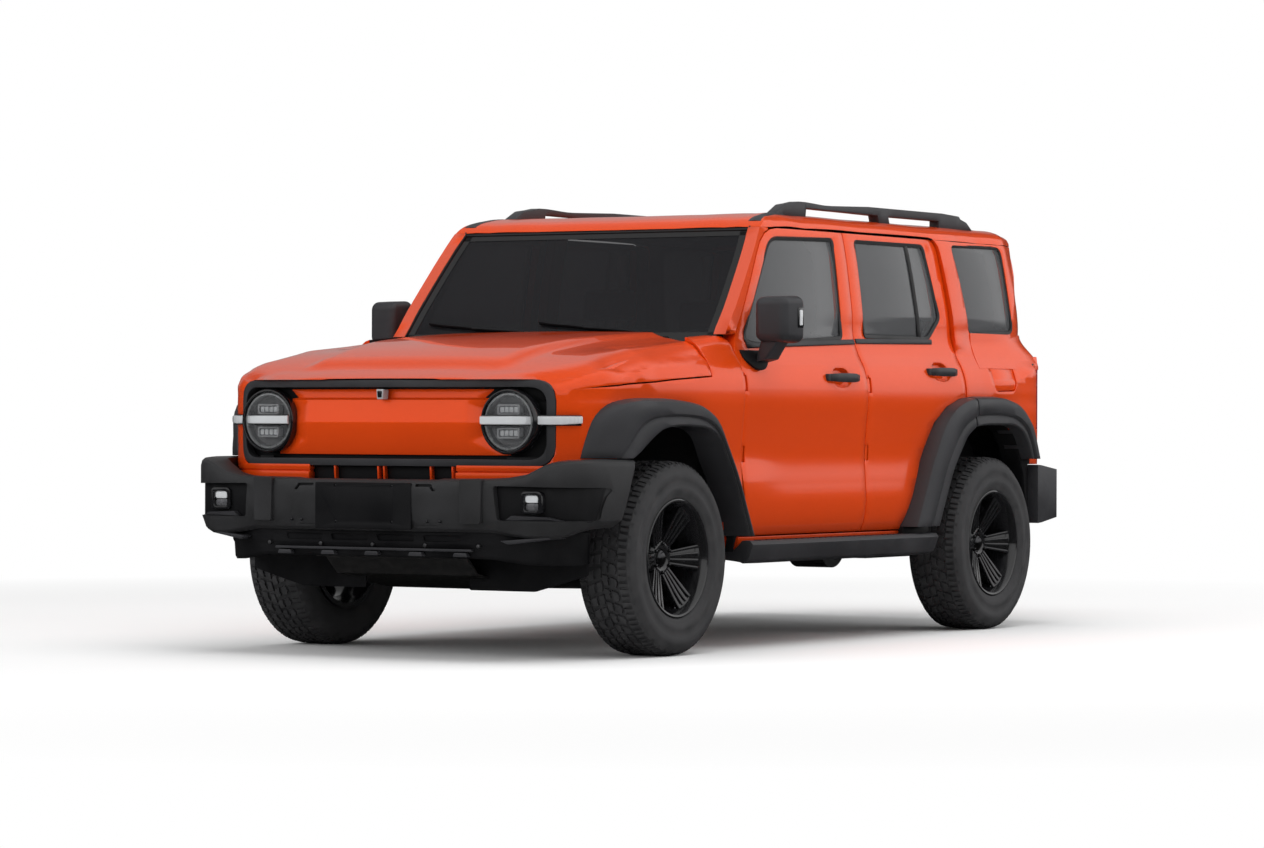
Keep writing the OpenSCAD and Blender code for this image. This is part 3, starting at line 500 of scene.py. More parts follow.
def tyre_rubber():
    f = Finish("tyre_rubber", IOR=1.45)
    dust = f.noise(14.0, 6.0, 0.65)
    fine = f.noise(700.0, 3.0)
    f.feed(Base_Color=f.blend(f.spread(dust, 0.35, 0.75), (0.029, 0.029, 0.031, 1), (0.052, 0.051, 0.053, 1)),
           Roughness=f.spread(dust, 0.3, 0.7, 0.58, 0.78))
    f.bump(fine, 0.0002, 0.4)
    return f.material


def glass(name, tint, alpha, level=0.5):
    f = Finish(name, IOR=1.5, Alpha=alpha, Specular_IOR_Level=level)
    haze = f.noise(3.0, 3.0)
    f.feed(Base_Color=f.blend(haze, (*tint, 1), (*[1.25 * c for c in tint], 1)),
           Roughness=f.spread(haze, 0.3, 0.7, 0.01, 0.03))
    f.material.surface_render_method = "BLENDED"
    return f.material


def metal(name, low, high, rough=(0.3, 0.45), metallic=1.0, scale=40.0):
    f = Finish(name, Metallic=metallic)
    stain = f.noise(scale, 6.0, 0.6)
    f.feed(Base_Color=f.tint(f.spread(stain, 0.3, 0.7), low, high),
           Roughness=f.spread(stain, 0.3, 0.7, *rough))
    f.bump(f.noise(scale * 18, 3.0), 0.0001, 0.3)
    return f.material


def seat_cloth():
    f = Finish("seat_cloth", Sheen_Weight=0.35, Sheen_Roughness=0.5)
    weft, warp = (f.bands(190.0, way, Distortion=0.4) for way in "YX")
    weave = weft * 0.5 + warp * 0.5
    f.feed(Base_Color=f.blend(weave, (0.020, 0.020, 0.022, 1), (0.052, 0.052, 0.056, 1)),
           Roughness=f.spread(weave, 0.0, 1.0, 0.95, 0.75))
    f.bump(weave, 0.0006, 0.6)
    return f.material


def lamp_lens(name, tint, alpha):
    f = Finish(name, IOR=1.5, Alpha=alpha)
    flute = f.bands(55.0)
    f.feed(Base_Color=f.blend(flute, (*tint, 1), (*[min(1, 1.3 * c) for c in tint], 1)),
           Roughness=f.spread(flute, 0.0, 1.0, 0.02, 0.08))
    f.bump(flute, 0.0002, 0.25)
    f.material.surface_render_method = "BLENDED"
    return f.material


def light_bar():
    """A pale light guide, unlit."""
    f = Finish("light_guide", IOR=1.5, Coat_Weight=0.8, Coat_Roughness=0.02)
    prism = f.bands(90.0)
    f.feed(Base_Color=f.blend(prism, (0.48, 0.496, 0.512, 1), (0.736, 0.752, 0.768, 1)),
           Roughness=f.spread(prism, 0.0, 1.0, 0.12, 0.3))
    f.bump(prism, 0.0004, 0.4)
    return f.material


PAINT = body_paint()
PLASTIC = grained_plastic("matte_plastic", (0.026, 0.026, 0.029), (0.036, 0.036, 0.040))
DARK_PLASTIC = grained_plastic("dark_plastic", (0.005, 0.005, 0.006), (0.009, 0.009, 0.010), (0.5, 0.7), ior=1.3)
BUMPER_PLASTIC = grained_plastic("bumper_plastic", (0.018, 0.018, 0.019), (0.026, 0.026, 0.028))
LINING = grained_plastic("cabin_lining", (0.022, 0.022, 0.024), (0.034, 0.034, 0.036), (0.6, 0.8), 500.0, 0.0003)
# Black underbody coating, its colour darkened further as painted shade for the parts under and inside the car.
UNDERSIDE_WITH_PAINTED_SHADE = grained_plastic("underbody_coating_with_painted_shade", (0.005, 0.005, 0.006), (0.010, 0.010, 0.011), (0.6, 0.85), 160.0,
    0.0006, 1.25)
GLOSS = gloss_black()
RIM_BLACK = gloss_black("rim_lacquer", (0.008, 0.008, 0.009), 0.14)
RUBBER = tyre_rubber()
SEAL = grained_plastic("window_rubber", (0.010, 0.010, 0.011), (0.015, 0.015, 0.016), (0.45, 0.6), 1200.0, 0.00005)
SCREEN = glass("windscreen_glass", (0.014, 0.014, 0.016), 0.66, 0.25)
SIDE_GLASS = glass("side_glass", (0.090, 0.092, 0.096), 0.88)
LENS = lamp_lens("clear_lens", (0.10, 0.105, 0.11), 0.16)
GUIDE = light_bar()
RED = lamp_lens("red_lens", (0.34, 0.008, 0.010), 0.92)
AMBER = lamp_lens("amber_lens", (0.75, 0.25, 0.02), 0.9)
CHROME = metal("bright_metal", (0.55, 0.55, 0.57), (0.72, 0.72, 0.74), (0.08, 0.18))
STEEL = metal("machined_steel", (0.20, 0.20, 0.21), (0.36, 0.36, 0.37), (0.3, 0.5))
FRAME_BLACK = metal("frame_enamel", (0.010, 0.010, 0.011), (0.022, 0.021, 0.020), (0.45, 0.7), 0.0)
CAST = metal("cast_alloy", (0.16, 0.16, 0.165), (0.26, 0.26, 0.27), (0.45, 0.65))
RUSTY = metal("exhaust_steel", (0.14, 0.11, 0.09), (0.28, 0.25, 0.23), (0.4, 0.7))
CLOTH = seat_cloth()


# ---------------------------------------------------------------- bodywork
def relax(co, line, reach=160):
    """How far points near a faceted line move so that they follow a smooth curve through its corners."""
    line = np.array(line, float)
    n = len(line)
    chord = np.linalg.norm(np.diff(line, axis=0), axis=1)
    slope = np.zeros_like(line)
    leg = np.diff(line, axis=0) / chord[:, None]
    slope[0], slope[-1] = leg[0], leg[-1]
    for i in range(1, n - 1):
        slope[i] = (leg[i] * chord[i - 1] + leg[i - 1] * chord[i]) / (chord[i] + chord[i - 1])
    best = np.full(len(co), 1e9)
    move = np.zeros_like(co)
    for i in range(n - 1):
        d = line[i + 1] - line[i]
        t = np.clip(((co - line[i]) @ d) / (d @ d), 0, 1)
        foot = line[i] + t[:, None] * d
        away = np.linalg.norm(co - foot, axis=1)
        t2, t3, h = t * t, t * t * t, chord[i]
        curve = ((2 * t3 - 3 * t2 + 1)[:, None] * line[i] + ((t3 - 2 * t2 + t) * h)[:, None] * slope[i]
                 + (3 * t2 - 2 * t3)[:, None] * line[i + 1] + ((t3 - t2) * h)[:, None] * slope[i + 1])
        near = away < best
        best[near] = away[near]
        move[near] = (curve - foot)[near]
    fade = np.clip(1.5 - best / reach, 0, 1)
    return move * fade[:, None]


def smoothstep(v, a, b):
    """Rises softly from 0 at a to 1 at b."""
    t = np.clip((v - a) / (b - a), 0, 1)
    return t * t * (3 - 2 * t)


def sculpt(obj, *steps):
    """Moves an object's points. Each step takes and returns distances to the middle plane,
    stations and heights, in millimetres."""
    co = np.zeros(len(obj.data.vertices) * 3)
    obj.data.vertices.foreach_get("co", co)
    co = co.reshape(-1, 3) * 1000
    x, s, z = co[:, 0].copy(), co[:, 1] - AXLE_Y * 1000, co[:, 2].copy()
    side = np.where(x < 0, -1.0, 1.0)
    x = np.abs(x)
    for step in steps:
        x, s, z = step(x, s, z)
    co = np.stack([x * side, s + AXLE_Y * 1000, z], axis=1) / 1000
    obj.data.vertices.foreach_set("co", co.ravel())
    obj.data.update()
    return obj


def follow(line, i, j, share=None):
    """A step that lays points near a faceted line on the smooth curve through its corners.
    i and j say which two of distance, station and height the line is drawn in."""
    def step(*co):
        d = relax(np.stack([co[i], co[j]], 1), line)
        amount = share(co[2]) if share else 1.0
        moved = list(co)
        moved[i], moved[j] = co[i] + d[:, 0] * amount, co[j] + d[:, 1] * amount
        return moved
    return step


by_section = follow(SIDE, 0, 2)
by_plan = follow(PLAN, 0, 1, lambda z: 1 - smoothstep(z, 1150, 1236))
by_upper_plan = follow(UPPER_PLAN, 0, 1, lambda z: smoothstep(z, 1236, 1280))
by_nose = follow(NOSE, 1, 2)
by_roof = follow(ROOF, 1, 2)


def divide(axis, places):
    """Planes square to an axis divide the mesh that is being edited."""
    normal = {"X": (1, 0, 0), "Y": (0, 1, 0), "Z": (0, 0, 1)}[axis]
    for at in places:
        bpy.ops.mesh.select_all(action="SELECT")
        bpy.ops.mesh.bisect(plane_co=place(*(at * n for n in normal)), plane_no=normal)


def gridded(obj, axis, places):
    """An object with its flats divided along one axis."""
    edit(obj)
    divide(axis, places)
    done()
    return obj


def sliced(node, name, lines):
    """A copy of a CAD node, with its flats divided by planes so that it can take a curved shape.
    `lines` maps an axis to the places of its planes, in millimetres."""
    obj = twin(frame["nodes"][node], name, Matrix.Identity(4))
    edit(obj)
    bpy.ops.mesh.remove_doubles(threshold=0.00004)
    bpy.ops.mesh.dissolve_limited(angle_limit=math.radians(0.4))
    for axis, places in lines.items():
        divide(axis, places)
    done()
    return obj


def from_edge(x, s, z):
    """Distance inside the plan outline, less the side's own lean."""
    line = np.array(PLAN, float)
    best = np.full(len(x), 1e9)
    p = np.stack([x, s], 1)
    for i in range(len(line) - 1):
        d = line[i + 1] - line[i]
        t = np.clip(((p - line[i]) @ d) / (d @ d), 0, 1)
        best = np.minimum(best, np.linalg.norm(p - line[i] - t[:, None] * d, axis=1))
    lean = HALF_WIDTH - side_x(z)
    wide = smoothstep(s, -560, -330)
    return best - lean * wide


def rolled_shoulder(x, s, z):
    """Rolls the hood and fenders over from their sides to their top."""
    r = np.interp(s, [-760, -600, -450, 100, 446], [66, 84, 92, 74, 50]) * np.interp(x, [480, 700], [0.4, 1.0])
    u, v = from_edge(x, s, z), top_z(s) - z
    a, b = r - u, r - v
    far = np.hypot(a, b)
    k = np.where((a > 0) & (b > 0) & (far > r), r / np.maximum(far, 1e-6), 1)
    side = smoothstep(s, -640, -420)
    inward = a * (1 - k)
    return x - inward * (0.35 + 0.65 * side) * (x > 300), s + inward * (1 - side), z - b * (1 - k)


def hood_form(x, s, z):
    """The raised middle of the hood, the hollows beside it and the crown across it."""
    half = np.interp(s, [-600, -420, 446], [440, 430, 520])
    middle = (1 - smoothstep(x, half, half + 64)) * smoothstep(s, -610, -500)
    hollow = smoothstep(x, half + 60, half + 170) * (1 - smoothstep(x, 690, 800)) * smoothstep(s, -400, 150)
    crown = -14 * (np.minimum(x, 760) / 760) ** 2
    lift = smoothstep(z, top_z(s) - 110, top_z(s) - 50)
    pull = 44 * (1 - smoothstep(s, -694, -590)) * (1 - smoothstep(x, 600, 735))
    return x, s - pull, z + lift * (21 * middle - 14 * hollow + crown)


def roof_form(x, s, z):
    """Two shallow flutes along the roof."""
    top = smoothstep(z, 1795, 1812)
    flute = np.exp(-((x - 470) / 34) ** 2) * smoothstep(s, 1120, 1230) * (1 - smoothstep(s, 2900, 3050))
    return x, s, z - 5 * flute * top


HANDLES = ((1389, 1120), (2313, 1154))


def door_form(x, s, z):
    """The lower door's soft belly fades out towards the arches."""
    fade = 1 - smoothstep(s, 620, 900) * (1 - smoothstep(s, 1950, 2230))
    belly = np.exp(-((z - 690) / 95) ** 2)
    skin_side = smoothstep(x, 700, 780)
    outer = smoothstep(x, side_x(z) - 22, side_x(z) - 8)
    dish = 0
    for mid, height in HANDLES:
        far = (np.abs((s - mid) / 76) ** 2.6 + np.abs((z - height) / 44) ** 2.6) ** (1 / 2.6)
        dish = dish + 22 * (1 - smoothstep(far, 0.66, 1.0))
    proud = (x > side_x(z) + 7) & (z < BELT)
    x = np.where(proud, side_x(z) - 6, x)
    return x + (8.0 * fade * belly * skin_side) - dish * outer, s, z


def over_nose(x, s, z):
    """The hood's lip lies on the top of the nose frame."""
    a = np.clip(x - 666, 0, 86)
    top = 1094 - (86 - np.sqrt(np.maximum(86 ** 2 - a ** 2, 0)))
    line = np.interp(x, [p[0] for p in PLAN[:7]], [p[1] for p in PLAN[:7]])
    near = (s < line + 42) & (x < 752) & (z > 1000)
    return x, s, np.where(near, np.maximum(z, top), z)


def low_liner(x, s, z):
    """The arch liners stay below the hood."""
    return x, s, np.minimum(z, 1092)


def flush(x, s, z):
    """Hinge barrels stay behind the skin."""
    return np.where((z < BELT) & (x > 700), np.minimum(x, side_x(z) - 3), x), s, z


def outward_glass(x, s, z):
    """The side windows sit nearly flush with the doors."""
    return x + 7, s, z


def corner_lean(x, s, z):
    """The rear corners lean in towards the roof."""
    return x - 50 * smoothstep(z, 1330, 1740) * smoothstep(s, 3120, 3310) * smoothstep(x, 560, 700), s, z


def arch_black(obj):
    """Faces inside the wheel arches and behind the skin take the underbody finish: black coating, darkened further
    as painted shade.
    """
    for p in obj.data.polygons:
        c, n = p.center, p.normal
        s, z = c.y - AXLE_Y, c.z
        out = n.x * (1 if c.x > 0 else -1)
        far = min(math.hypot(s - axle, z - TYRE_R / 1000) for axle in (0, REAR_AXLE / 1000))
        hidden = (out < 0.35 and far < 0.66 and z < 0.98) or (far < 0.565 and z < 0.95) or out < -0.4
        p.material_index = int(hidden)
    return obj


def two_tone(obj):
    """Faces that look into the car take the second material."""
    for p in obj.data.polygons:
        c, n = p.center, p.normal
        x, z = abs(c.x) * 1000, c.z * 1000
        inward = -n.x * (1 if c.x > 0 else -1)
        p.material_index = 1 if (inward > 0.4 and side_x(min(z, 1745)) - x > 24) else 0
    return obj


def side_pair(node, name, body, finishes, slot, lines, shape, bevel=2.2, post=None):
    """A left panel and its twin on the right."""
    left = sculpt(sliced(node + "_left", name + "_left", lines), *shape)
    soft_edges(left, bevel)
    if post:
        post(left)
    right = twin(left, name + "_right")
    for obj, hand in ((left, "_left"), (right, "_right")):
        fit(obj, body + hand, slot, *finishes, stands_for=(node + hand,))
    return left, right


Z_CUTS = steps(462, 1745, 27)
side_pair("front_door", "front_door_panel", "front_door", (PAINT, LINING), "paint",
          {"Z": Z_CUTS + around(1120.5, 48, 6.4), "Y": steps(560, 1605, 80) + around(1389.5, 80, 8)},
          (by_section, door_form), post=two_tone)
rear_doors = side_pair("rear_door", "rear_door_panel", "rear_door", (PAINT, LINING, PLASTIC), "paint",
                       {"Z": Z_CUTS + around(1154.5, 48, 6.4), "Y": steps(1615, 2520, 80) + around(2313.5, 80, 8)},
                       (by_section, door_form), post=two_tone)
for obj in rear_doors:
    for p in obj.data.polygons:
        c = p.center
        if abs(c.x) * 1000 > side_x(c.z * 1000) + 7 or (c.z < 0.62 and abs(c.x) > 0.902):
            p.material_index = 2
for end, low in (("front", 1247), ("rear", 1296)):
    side_pair(end + "_glass", end + "_door_glass", end + "_door", (SIDE_GLASS,), "glass",
              {"Z": steps(low, 1718, 27)}, (by_section, outward_glass), 0.8)


FLAP_GAP = ("flap_gap", soften([(2806, 1068), (3032, 1074), (3026, 1270), (2800, 1266)], 40, 6), "X", 870, 960)


def panel(node, name, body, slot, finishes, lines, shape, bevel=2.2, post=None, holes=()):
    obj = sculpt(sliced(node, name, lines), *shape)
    cut(obj, *[board(*hole) for hole in holes])
    soft_edges(obj, bevel)
    if post:
        post(obj)
    return fit(obj, body, slot, *finishes, stands_for=(node,))


def lined(obj, inside):
    """Faces that pass a test take the second material."""
    for p in obj.data.polygons:
        p.material_index = int(inside(p))


hood = panel("hood", "hood_panel", "hood", "paint", (PAINT, LINING),
             {"X": both_ways(0, 900, 30), "Y": steps(-745, 446, 28), "Z": steps(1050, 1290, 22)},
             (by_plan, by_section, by_nose, rolled_shoulder, hood_form, over_nose), 2.0)
lined(hood, lambda p: p.normal.z < -0.45 and abs(p.center.x) < 0.74 and p.center.y > -0.68 + AXLE_Y)
panel("front_fenders", "fender_panels", "body", "paint", (PAINT, UNDERSIDE_WITH_PAINTED_SHADE),
                {"X": both_ways(700, 900, 22), "Y": steps(-745, 549, 30), "Z": steps(752, 1284, 24)},
                (by_plan, by_section, by_nose, rolled_shoulder), 2.0, arch_black)
panel("rear_quarters", "quarter_panels", "body", "paint", (PAINT, UNDERSIDE_WITH_PAINTED_SHADE),
                 {"X": both_ways(700, 900, 22), "Y": steps(2460, 3404, 36), "Z": steps(470, 1744, 26)},
                 (by_plan, by_upper_plan, by_section, corner_lean), 2.0, arch_black, (FLAP_GAP,))
panel("quarter_glass", "quarter_window_glass", "body", "glass", (SIDE_GLASS,), {"Z": steps(1325, 1736, 30)},
      (by_section, outward_glass), 0.8)
roof = panel("roof_panel", "roof_skin", "body", "paint", (PAINT, LINING),
             {"X": both_ways(0, 800, 32), "Y": steps(860, 3320, 42), "Z": steps(1745, 1838, 12)},
             (by_upper_plan, by_section, by_roof, roof_form, corner_lean), 2.0)
lined(roof, lambda p: p.normal.z < -0.45)
gate = panel("tailgate", "tailgate_panel", "tailgate", "paint", (PAINT, LINING),
             {"X": both_ways(0, 780, 60), "Z": steps(752, 1765, 30)}, (by_roof,), 2.5)
lined(gate, lambda p: p.normal.y < -0.5)
panel("tailgate_glass", "rear_window_glass", "tailgate", "glass", (SIDE_GLASS,), {}, (), 0.8)
panel("door_pillars", "pillars", "body", "paint", (PAINT,), {"Z": steps(470, 1744, 40)}, (by_section, flush), 1.5)
panel("sills", "sill_boxes", "body", "paint", (PAINT,), {"Y": steps(580, 2150, 160)}, (), 3.0)
panel("windscreen", "windscreen_pane", "body", "glass", (SCREEN,), {}, (), 0.8)

panel("wheel_housings", "arch_liners", "body", "underbody", (UNDERSIDE_WITH_PAINTED_SHADE,), {}, (low_liner,), 1.0)


# ---------------------------------------------------------------- lofted pieces
def skin_over(name, rings, caps=True):
    """A skin over rings of points, each ring with the same number of places in metres."""
    n, m = len(rings), len(rings[0])
    clear()
    bpy.ops.mesh.primitive_grid_add(x_subdivisions=m, y_subdivisions=n - 1)
    obj = bpy.context.object
    row = m + 1
    for i, ring in enumerate(rings):
        for j in range(row):
            obj.data.vertices[i * row + j].co = ring[j % m]
    edit(obj)
    bpy.ops.mesh.remove_doubles(threshold=0.00001)
    if caps:
        bpy.ops.mesh.select_all(action="DESELECT")
        bpy.ops.mesh.select_non_manifold()
        bpy.ops.mesh.fill_holes(sides=0)
        bpy.ops.mesh.select_all(action="SELECT")
    bpy.ops.mesh.normals_make_consistent(inside=False)
    done()
    return settle(obj, name)


def plan_s(x, lift=0.0):
    """Station of the nose at a distance from the middle plane."""
    x = abs(x)
    return graph(x, [0, 430, 620, 738, 818], [-742, -722, -690, -645, -585]) - lift


def resample(points, n):
    pts = np.array([list(p) for p in points], float)
    d = np.concatenate([[0], np.cumsum(np.linalg.norm(np.diff(pts, axis=0), axis=1))])
    at = np.linspace(0, d[-1], n)
    return np.stack([np.interp(at, d, pts[:, k]) for k in range(pts.shape[1])], 1)


def rounded(points, n, passes=3):
    """Evenly spaced points along an open line with its corners eased."""
    pts = resample(points, n)
    for _ in range(passes):
        pts[1:-1] = (pts[:-2] + 2 * pts[1:-1] + pts[2:]) / 4
    return pts


def tangent(line, i):
    """Direction of a line of points at its point i."""
    a, b = line[max(0, i - 1)], line[min(len(line) - 1, i + 1)]
    return Vector((b[0] - a[0], b[1] - a[1])).normalized()


def mirrored(line):
    """A line from the middle outwards, with its mirror image before it."""
    return [(-x, s) for x, s in line[:0:-1]] + line


def arc(cx, cz, r, a0, a1, n=16):
    return [(cx + r * math.cos(math.radians(a0 + (a1 - a0) * i / n)),
             cz + r * math.sin(math.radians(a0 + (a1 - a0) * i / n))) for i in range(n + 1)]


def both(obj, name, body, slot, *finishes, stands_for=()):
    """Fits a piece and its twin on the other side."""
    other = twin(obj, name + "_right")
    obj.name = obj.data.name = name + "_left"
    return fit(obj, body, slot, *finishes, stands_for=stands_for), fit(other, body, slot, *finishes)


def both_hands(obj, name, body, slot, *finishes):
    """The same, for bodies that come in pairs."""
    other = twin(obj, name + "_right")
    obj.name = obj.data.name = name + "_left"
    return fit(obj, body + "_left", slot, *finishes), fit(other, body + "_right", slot, *finishes)


def plate(fitted, name, outline, axis, a, b, bevel, *rest):
    """A board with its edges broken, handed to fit, both or both_hands."""
    obj = soft_edges(board(name, outline, axis, a, b), *bevel)
    return fitted(obj, *rest) if fitted is fit else fitted(obj, name, *rest)


# ---------------------------------------------------------------- nose
def to_nose(obj, lift=0.0, shape=None):
    """Bends a flat plate, drawn at station 0, around the nose. `shape` adds a setback in mm."""
    for c in (v.co for v in obj.data.vertices):
        x, s, z = c.x * 1000, (c.y - AXLE_Y) * 1000, c.z * 1000
        back = shape(x, z) if shape else 0.0
        c.y = (plan_s(x, lift) + s + back) / 1000 + AXLE_Y
    obj.data.update()
    return obj


LAMP, LAMP_R = (577, 930), 127
CREASE, LEDGE = 926, 1014  # heights of two lines across the nose panel
X_FINE = steps(-750, 750, 20)

frame_out = soft_oblong(-752, 752, 754, 1092, 86, 8)
frame_in = soft_oblong(-722, 722, 782, 1064, 70, 8)
surround = board("nose_surround", frame_out, "Y", -6, 40)
surround = cut(surround, board("opening", frame_in, "Y", -60, 90))
gridded(surround, "X", X_FINE)
to_nose(surround, 2, lambda x, z: 0.03 * abs(z - 923))
soft_edges(surround, 5, 3)
fit(surround, "body", "trim", PLASTIC, stands_for=("grille_panel",))

back = board("nose_back_plate", grow(frame_in, 8), "Y", 52, 66)
gridded(back, "X", X_FINE)
to_nose(back)
soft_edges(back, 0)
fit(back, "body", "trim", DARK_PLASTIC)

lamp_cut = arc(*LAMP, LAMP_R, 100, 260, 22)
outline = lamp_cut + [(-x, z) for x, z in lamp_cut[::-1]]
outline = [(555, 1056)] + outline[:23] + [(555, 798), (-555, 798)] + outline[23:] + [(-555, 1056)]


def nose_relief(x, z):
    """Setback of the painted nose panel: creased along its middle and scooped around the lamps."""
    dx, dz = abs(abs(x) - LAMP[0]), abs(z - LAMP[1])
    t = min(1, max(0, (max(dx, 0.53 * dx + 1.18 * dz) - LAMP_R) / 69))
    scoop = 24 * (1 - t)
    upper = max(0, z - CREASE) / 132
    lower = max(0, CREASE - z) / 128
    ledge = 14 * min(1, max(0, (z - LEDGE) / 9))
    return min(49, 8 + 24 * upper + 30 * lower ** 1.3 + scoop + ledge)


nose = board("nose_panel", outline, "Y", 0, 14)
gridded(nose, "X", steps(-560, 560, 12))
gridded(nose, "Z", steps(798, 1056, 11) + [CREASE, LEDGE, LEDGE + 9])
to_nose(nose, 0, nose_relief)
soft_edges(nose, 1.5, 2, 50, 28)
fit(nose, "body", "paint", PAINT)

badge = board("blank_badge", soften([(-14, 1016), (14, 1016), (17, 1056), (-17, 1056)], 5), "Y", -8, 30)
to_nose(badge)
soft_edges(badge, 2, 3)
inner = board("badge_face", soften([(-9, 1023), (9, 1023), (11, 1049), (-11, 1049)], 4), "Y", -10, -2)
to_nose(inner)
soft_edges(inner, 1, 2)
fit(badge, "body", "trim", metal("badge_metal", (0.42, 0.42, 0.43), (0.52, 0.52, 0.53), (0.3, 0.45), 0.25))
fit(inner, "body", "trim", GLOSS)

# lamps, each turned about a line along the car
cx, cz = LAMP
s0 = plan_s(cx)


def lamp_part(name, profile, bevel=0):
    return soft_edges(turned(name, profile, place(cx, s0, cz), ALONG, 72), bevel)


bezel = lamp_part("lamp_bezel", [(116, 40), (116, -10), (119, -16), (125, -14), (129, -4), (129, 40), (116, 40)],
               1)
both(bezel, "lamp_bezel", "body", "trim", GLOSS, stands_for=("headlamps",))
bowl = lamp_part("lamp_bowl", [(0, 34), (60, 32), (98, 22), (108, 4), (114, -4), (116, 4), (112, 30), (60, 42),
    (0, 44)])
both(bowl, "lamp_bowl", "body", "lens", metal("lamp_bowl_metal", (0.13, 0.13, 0.135), (0.19, 0.19, 0.195),
    (0.3, 0.45), 0.1))
ring = lamp_part("lamp_ring", [(100, -2), (104, -8), (110, -7), (112, 2), (100, -2)])
both(ring, "lamp_ring", "body", "lens", metal("lamp_ring_metal", (0.16, 0.165, 0.17), (0.24, 0.245, 0.25),
    (0.22, 0.34), 0.2))
cover = lamp_part("lamp_cover", [(0, -24), (40, -22.5), (75, -18), (100, -11), (115, -3), (115, 0), (100, -8),
    (75, -15), (40, -19.5), (0, -21)])
both(cover, "lamp_cover", "body", "lens", LENS)
for k, z in enumerate((976, 885)):
    box = board("unit", soft_oblong(cx - 52, cx + 52, z - 21, z + 21, 9, 4), "Y", s0 - 8, s0 + 24)
    cut(box, board("hole", soft_oblong(cx - 45, cx + 45, z - 14, z + 14, 6, 4), "Y", s0 - 20, s0 + 14))
    soft_edges(box, 1.2)
    both(box, "lamp_unit_%d" % k, "body", "lens", metal("lamp_unit_metal_%d" % k, (0.30, 0.30, 0.31),
        (0.40, 0.41, 0.42), (0.25, 0.4), 0.1))
    eye = join("lamp_eyes", *[board("eye", soft_oblong(cx + a - 9, cx + a + 9, z - 11, z + 11, 4, 3), "Y", s0 - 3,
        s0 + 12) for a in (-32, -11, 11, 32)])
    soft_edges(eye, 1.5)
    both(eye, "lamp_eyes_%d" % k, "body", "lens", GUIDE)

# the light bar crosses the lamp and wraps onto the fender
path = [(464, plan_s(464) - 4), (500, plan_s(500) - 16), (560, plan_s(560) - 24), (620, plan_s(620) - 27),
        (680, plan_s(680) - 24), (738, plan_s(738) - 20), (782, -640), (812, -612), (834, -580)]
path = rounded(path, 22, 2)
rings = []
for i, (x, s) in enumerate(path):
    t = tangent(path, i)
    nrm = Vector((t.y, -t.x))
    lo, hi = 918 + 5 * max(0, i / (len(path) - 1) - 0.8) * 5, 951
    rings.append([place(x + nrm.x * d, s + nrm.y * d, z) for d, z in
                  ((0, lo), (8, lo), (12, lo + 3), (13, (lo + hi) / 2), (12, hi - 3), (8, hi), (0, hi))])
bar = skin_over("light_bar", rings)
soft_edges(bar, 0)
both(bar, "light_bar", "body", "lens", GUIDE)
rim = [[place(x + nx, s + ns, z) for nx, ns, z in ((0, 2, 914), (2, -6, 914), (2, -6, 955), (0, 2, 955))]
       for x, s in path]
holder = skin_over("light_bar_holder", rim)
both(soft_edges(holder, 0.8), "light_bar_holder", "body", "trim", GLOSS)

# painted strips and fins below the nose
lip = join("nose_lip", board("upper", soften([(352, 736), (786, 736), (806, 750), (735, 758), (352, 758)], 3, 2),
    "Y", -4, 30), board("lower", soften([(352, 700), (764, 700), (790, 730), (352, 730)], 3, 2), "Y", -9, 30),
    board("groove", [(354, 724), (774, 724), (780, 742), (354, 742)], "Y", 3, 28))
gridded(lip, "X", steps(352, 800, 24))
to_nose(lip, 2)
both(soft_edges(lip, 2), "nose_lip", "body", "paint", PAINT)
fins = join("nose_fins", *[board("fin", [(x - 4, 700), (x + 4, 700), (x + 1, 758), (x - 7, 758)], "Y", 4, 26)
                           for x in (-230, -14, 14, 230, 330)])
to_nose(fins)
fit(soft_edges(fins, 1), "body", "paint", PAINT)
slot_back = board("nose_slot", oblong(-352, 352, 680, 760), "Y", 30, 40)
gridded(slot_back, "X", steps(-352, 352, 40))
to_nose(slot_back)
fit(soft_edges(slot_back, 1), "body", "trim", DARK_PLASTIC)


# ---------------------------------------------------------------- front bumper
def bumper_front(x):
    """Station of the bumper's face at a distance from the middle plane."""
    x = abs(x)
    return graph(x, [0, 330, 350, 520, 560, 800, 880, 925, 950, 958],
                 [-860, -860, -850, -845, -835, -800, -752, -690, -600, -410])


def on_bumper(obj):
    """Moves a plate, drawn at station 0, onto the bumper's face."""
    for v in obj.data.vertices:
        v.co.y += bumper_front(v.co.x * 1000) / 1000
    return obj


BUMPER_PATH = [(0, -857), (120, -857), (240, -857), (325, -857), (352, -848), (430, -845), (515, -842), (545, -836),
               (562, -832), (640, -822), (720, -811), (800, -797), (850, -772), (890, -738), (920, -692),
               (938, -640), (948, -570), (954, -490), (956, -405)]


def bumper_ring(x, s, t):
    """Section of the bumper beam where its face is at (x, s) with tangent t."""
    top = graph(x, [0, 345, 352, 560, 640, 720, 790, 870, 956], [704, 704, 708, 710, 714, 728, 764, 782, 786])
    low = graph(x, [0, 560, 700, 870, 956], [500, 500, 478, 478, 520])
    nrm = Vector((t.y, -t.x)).normalized()
    pts = [(-110, top - 6), (-46, top), (-16, top - 4), (-5, top - 14), (0, top - 34), (0, 640), (-2, 590),
           (-6, 548), (-22, low + 14), (-44, low), (-120, low + 6)]
    return [place(x + nrm.x * d, s + nrm.y * d, z) for d, z in pts]


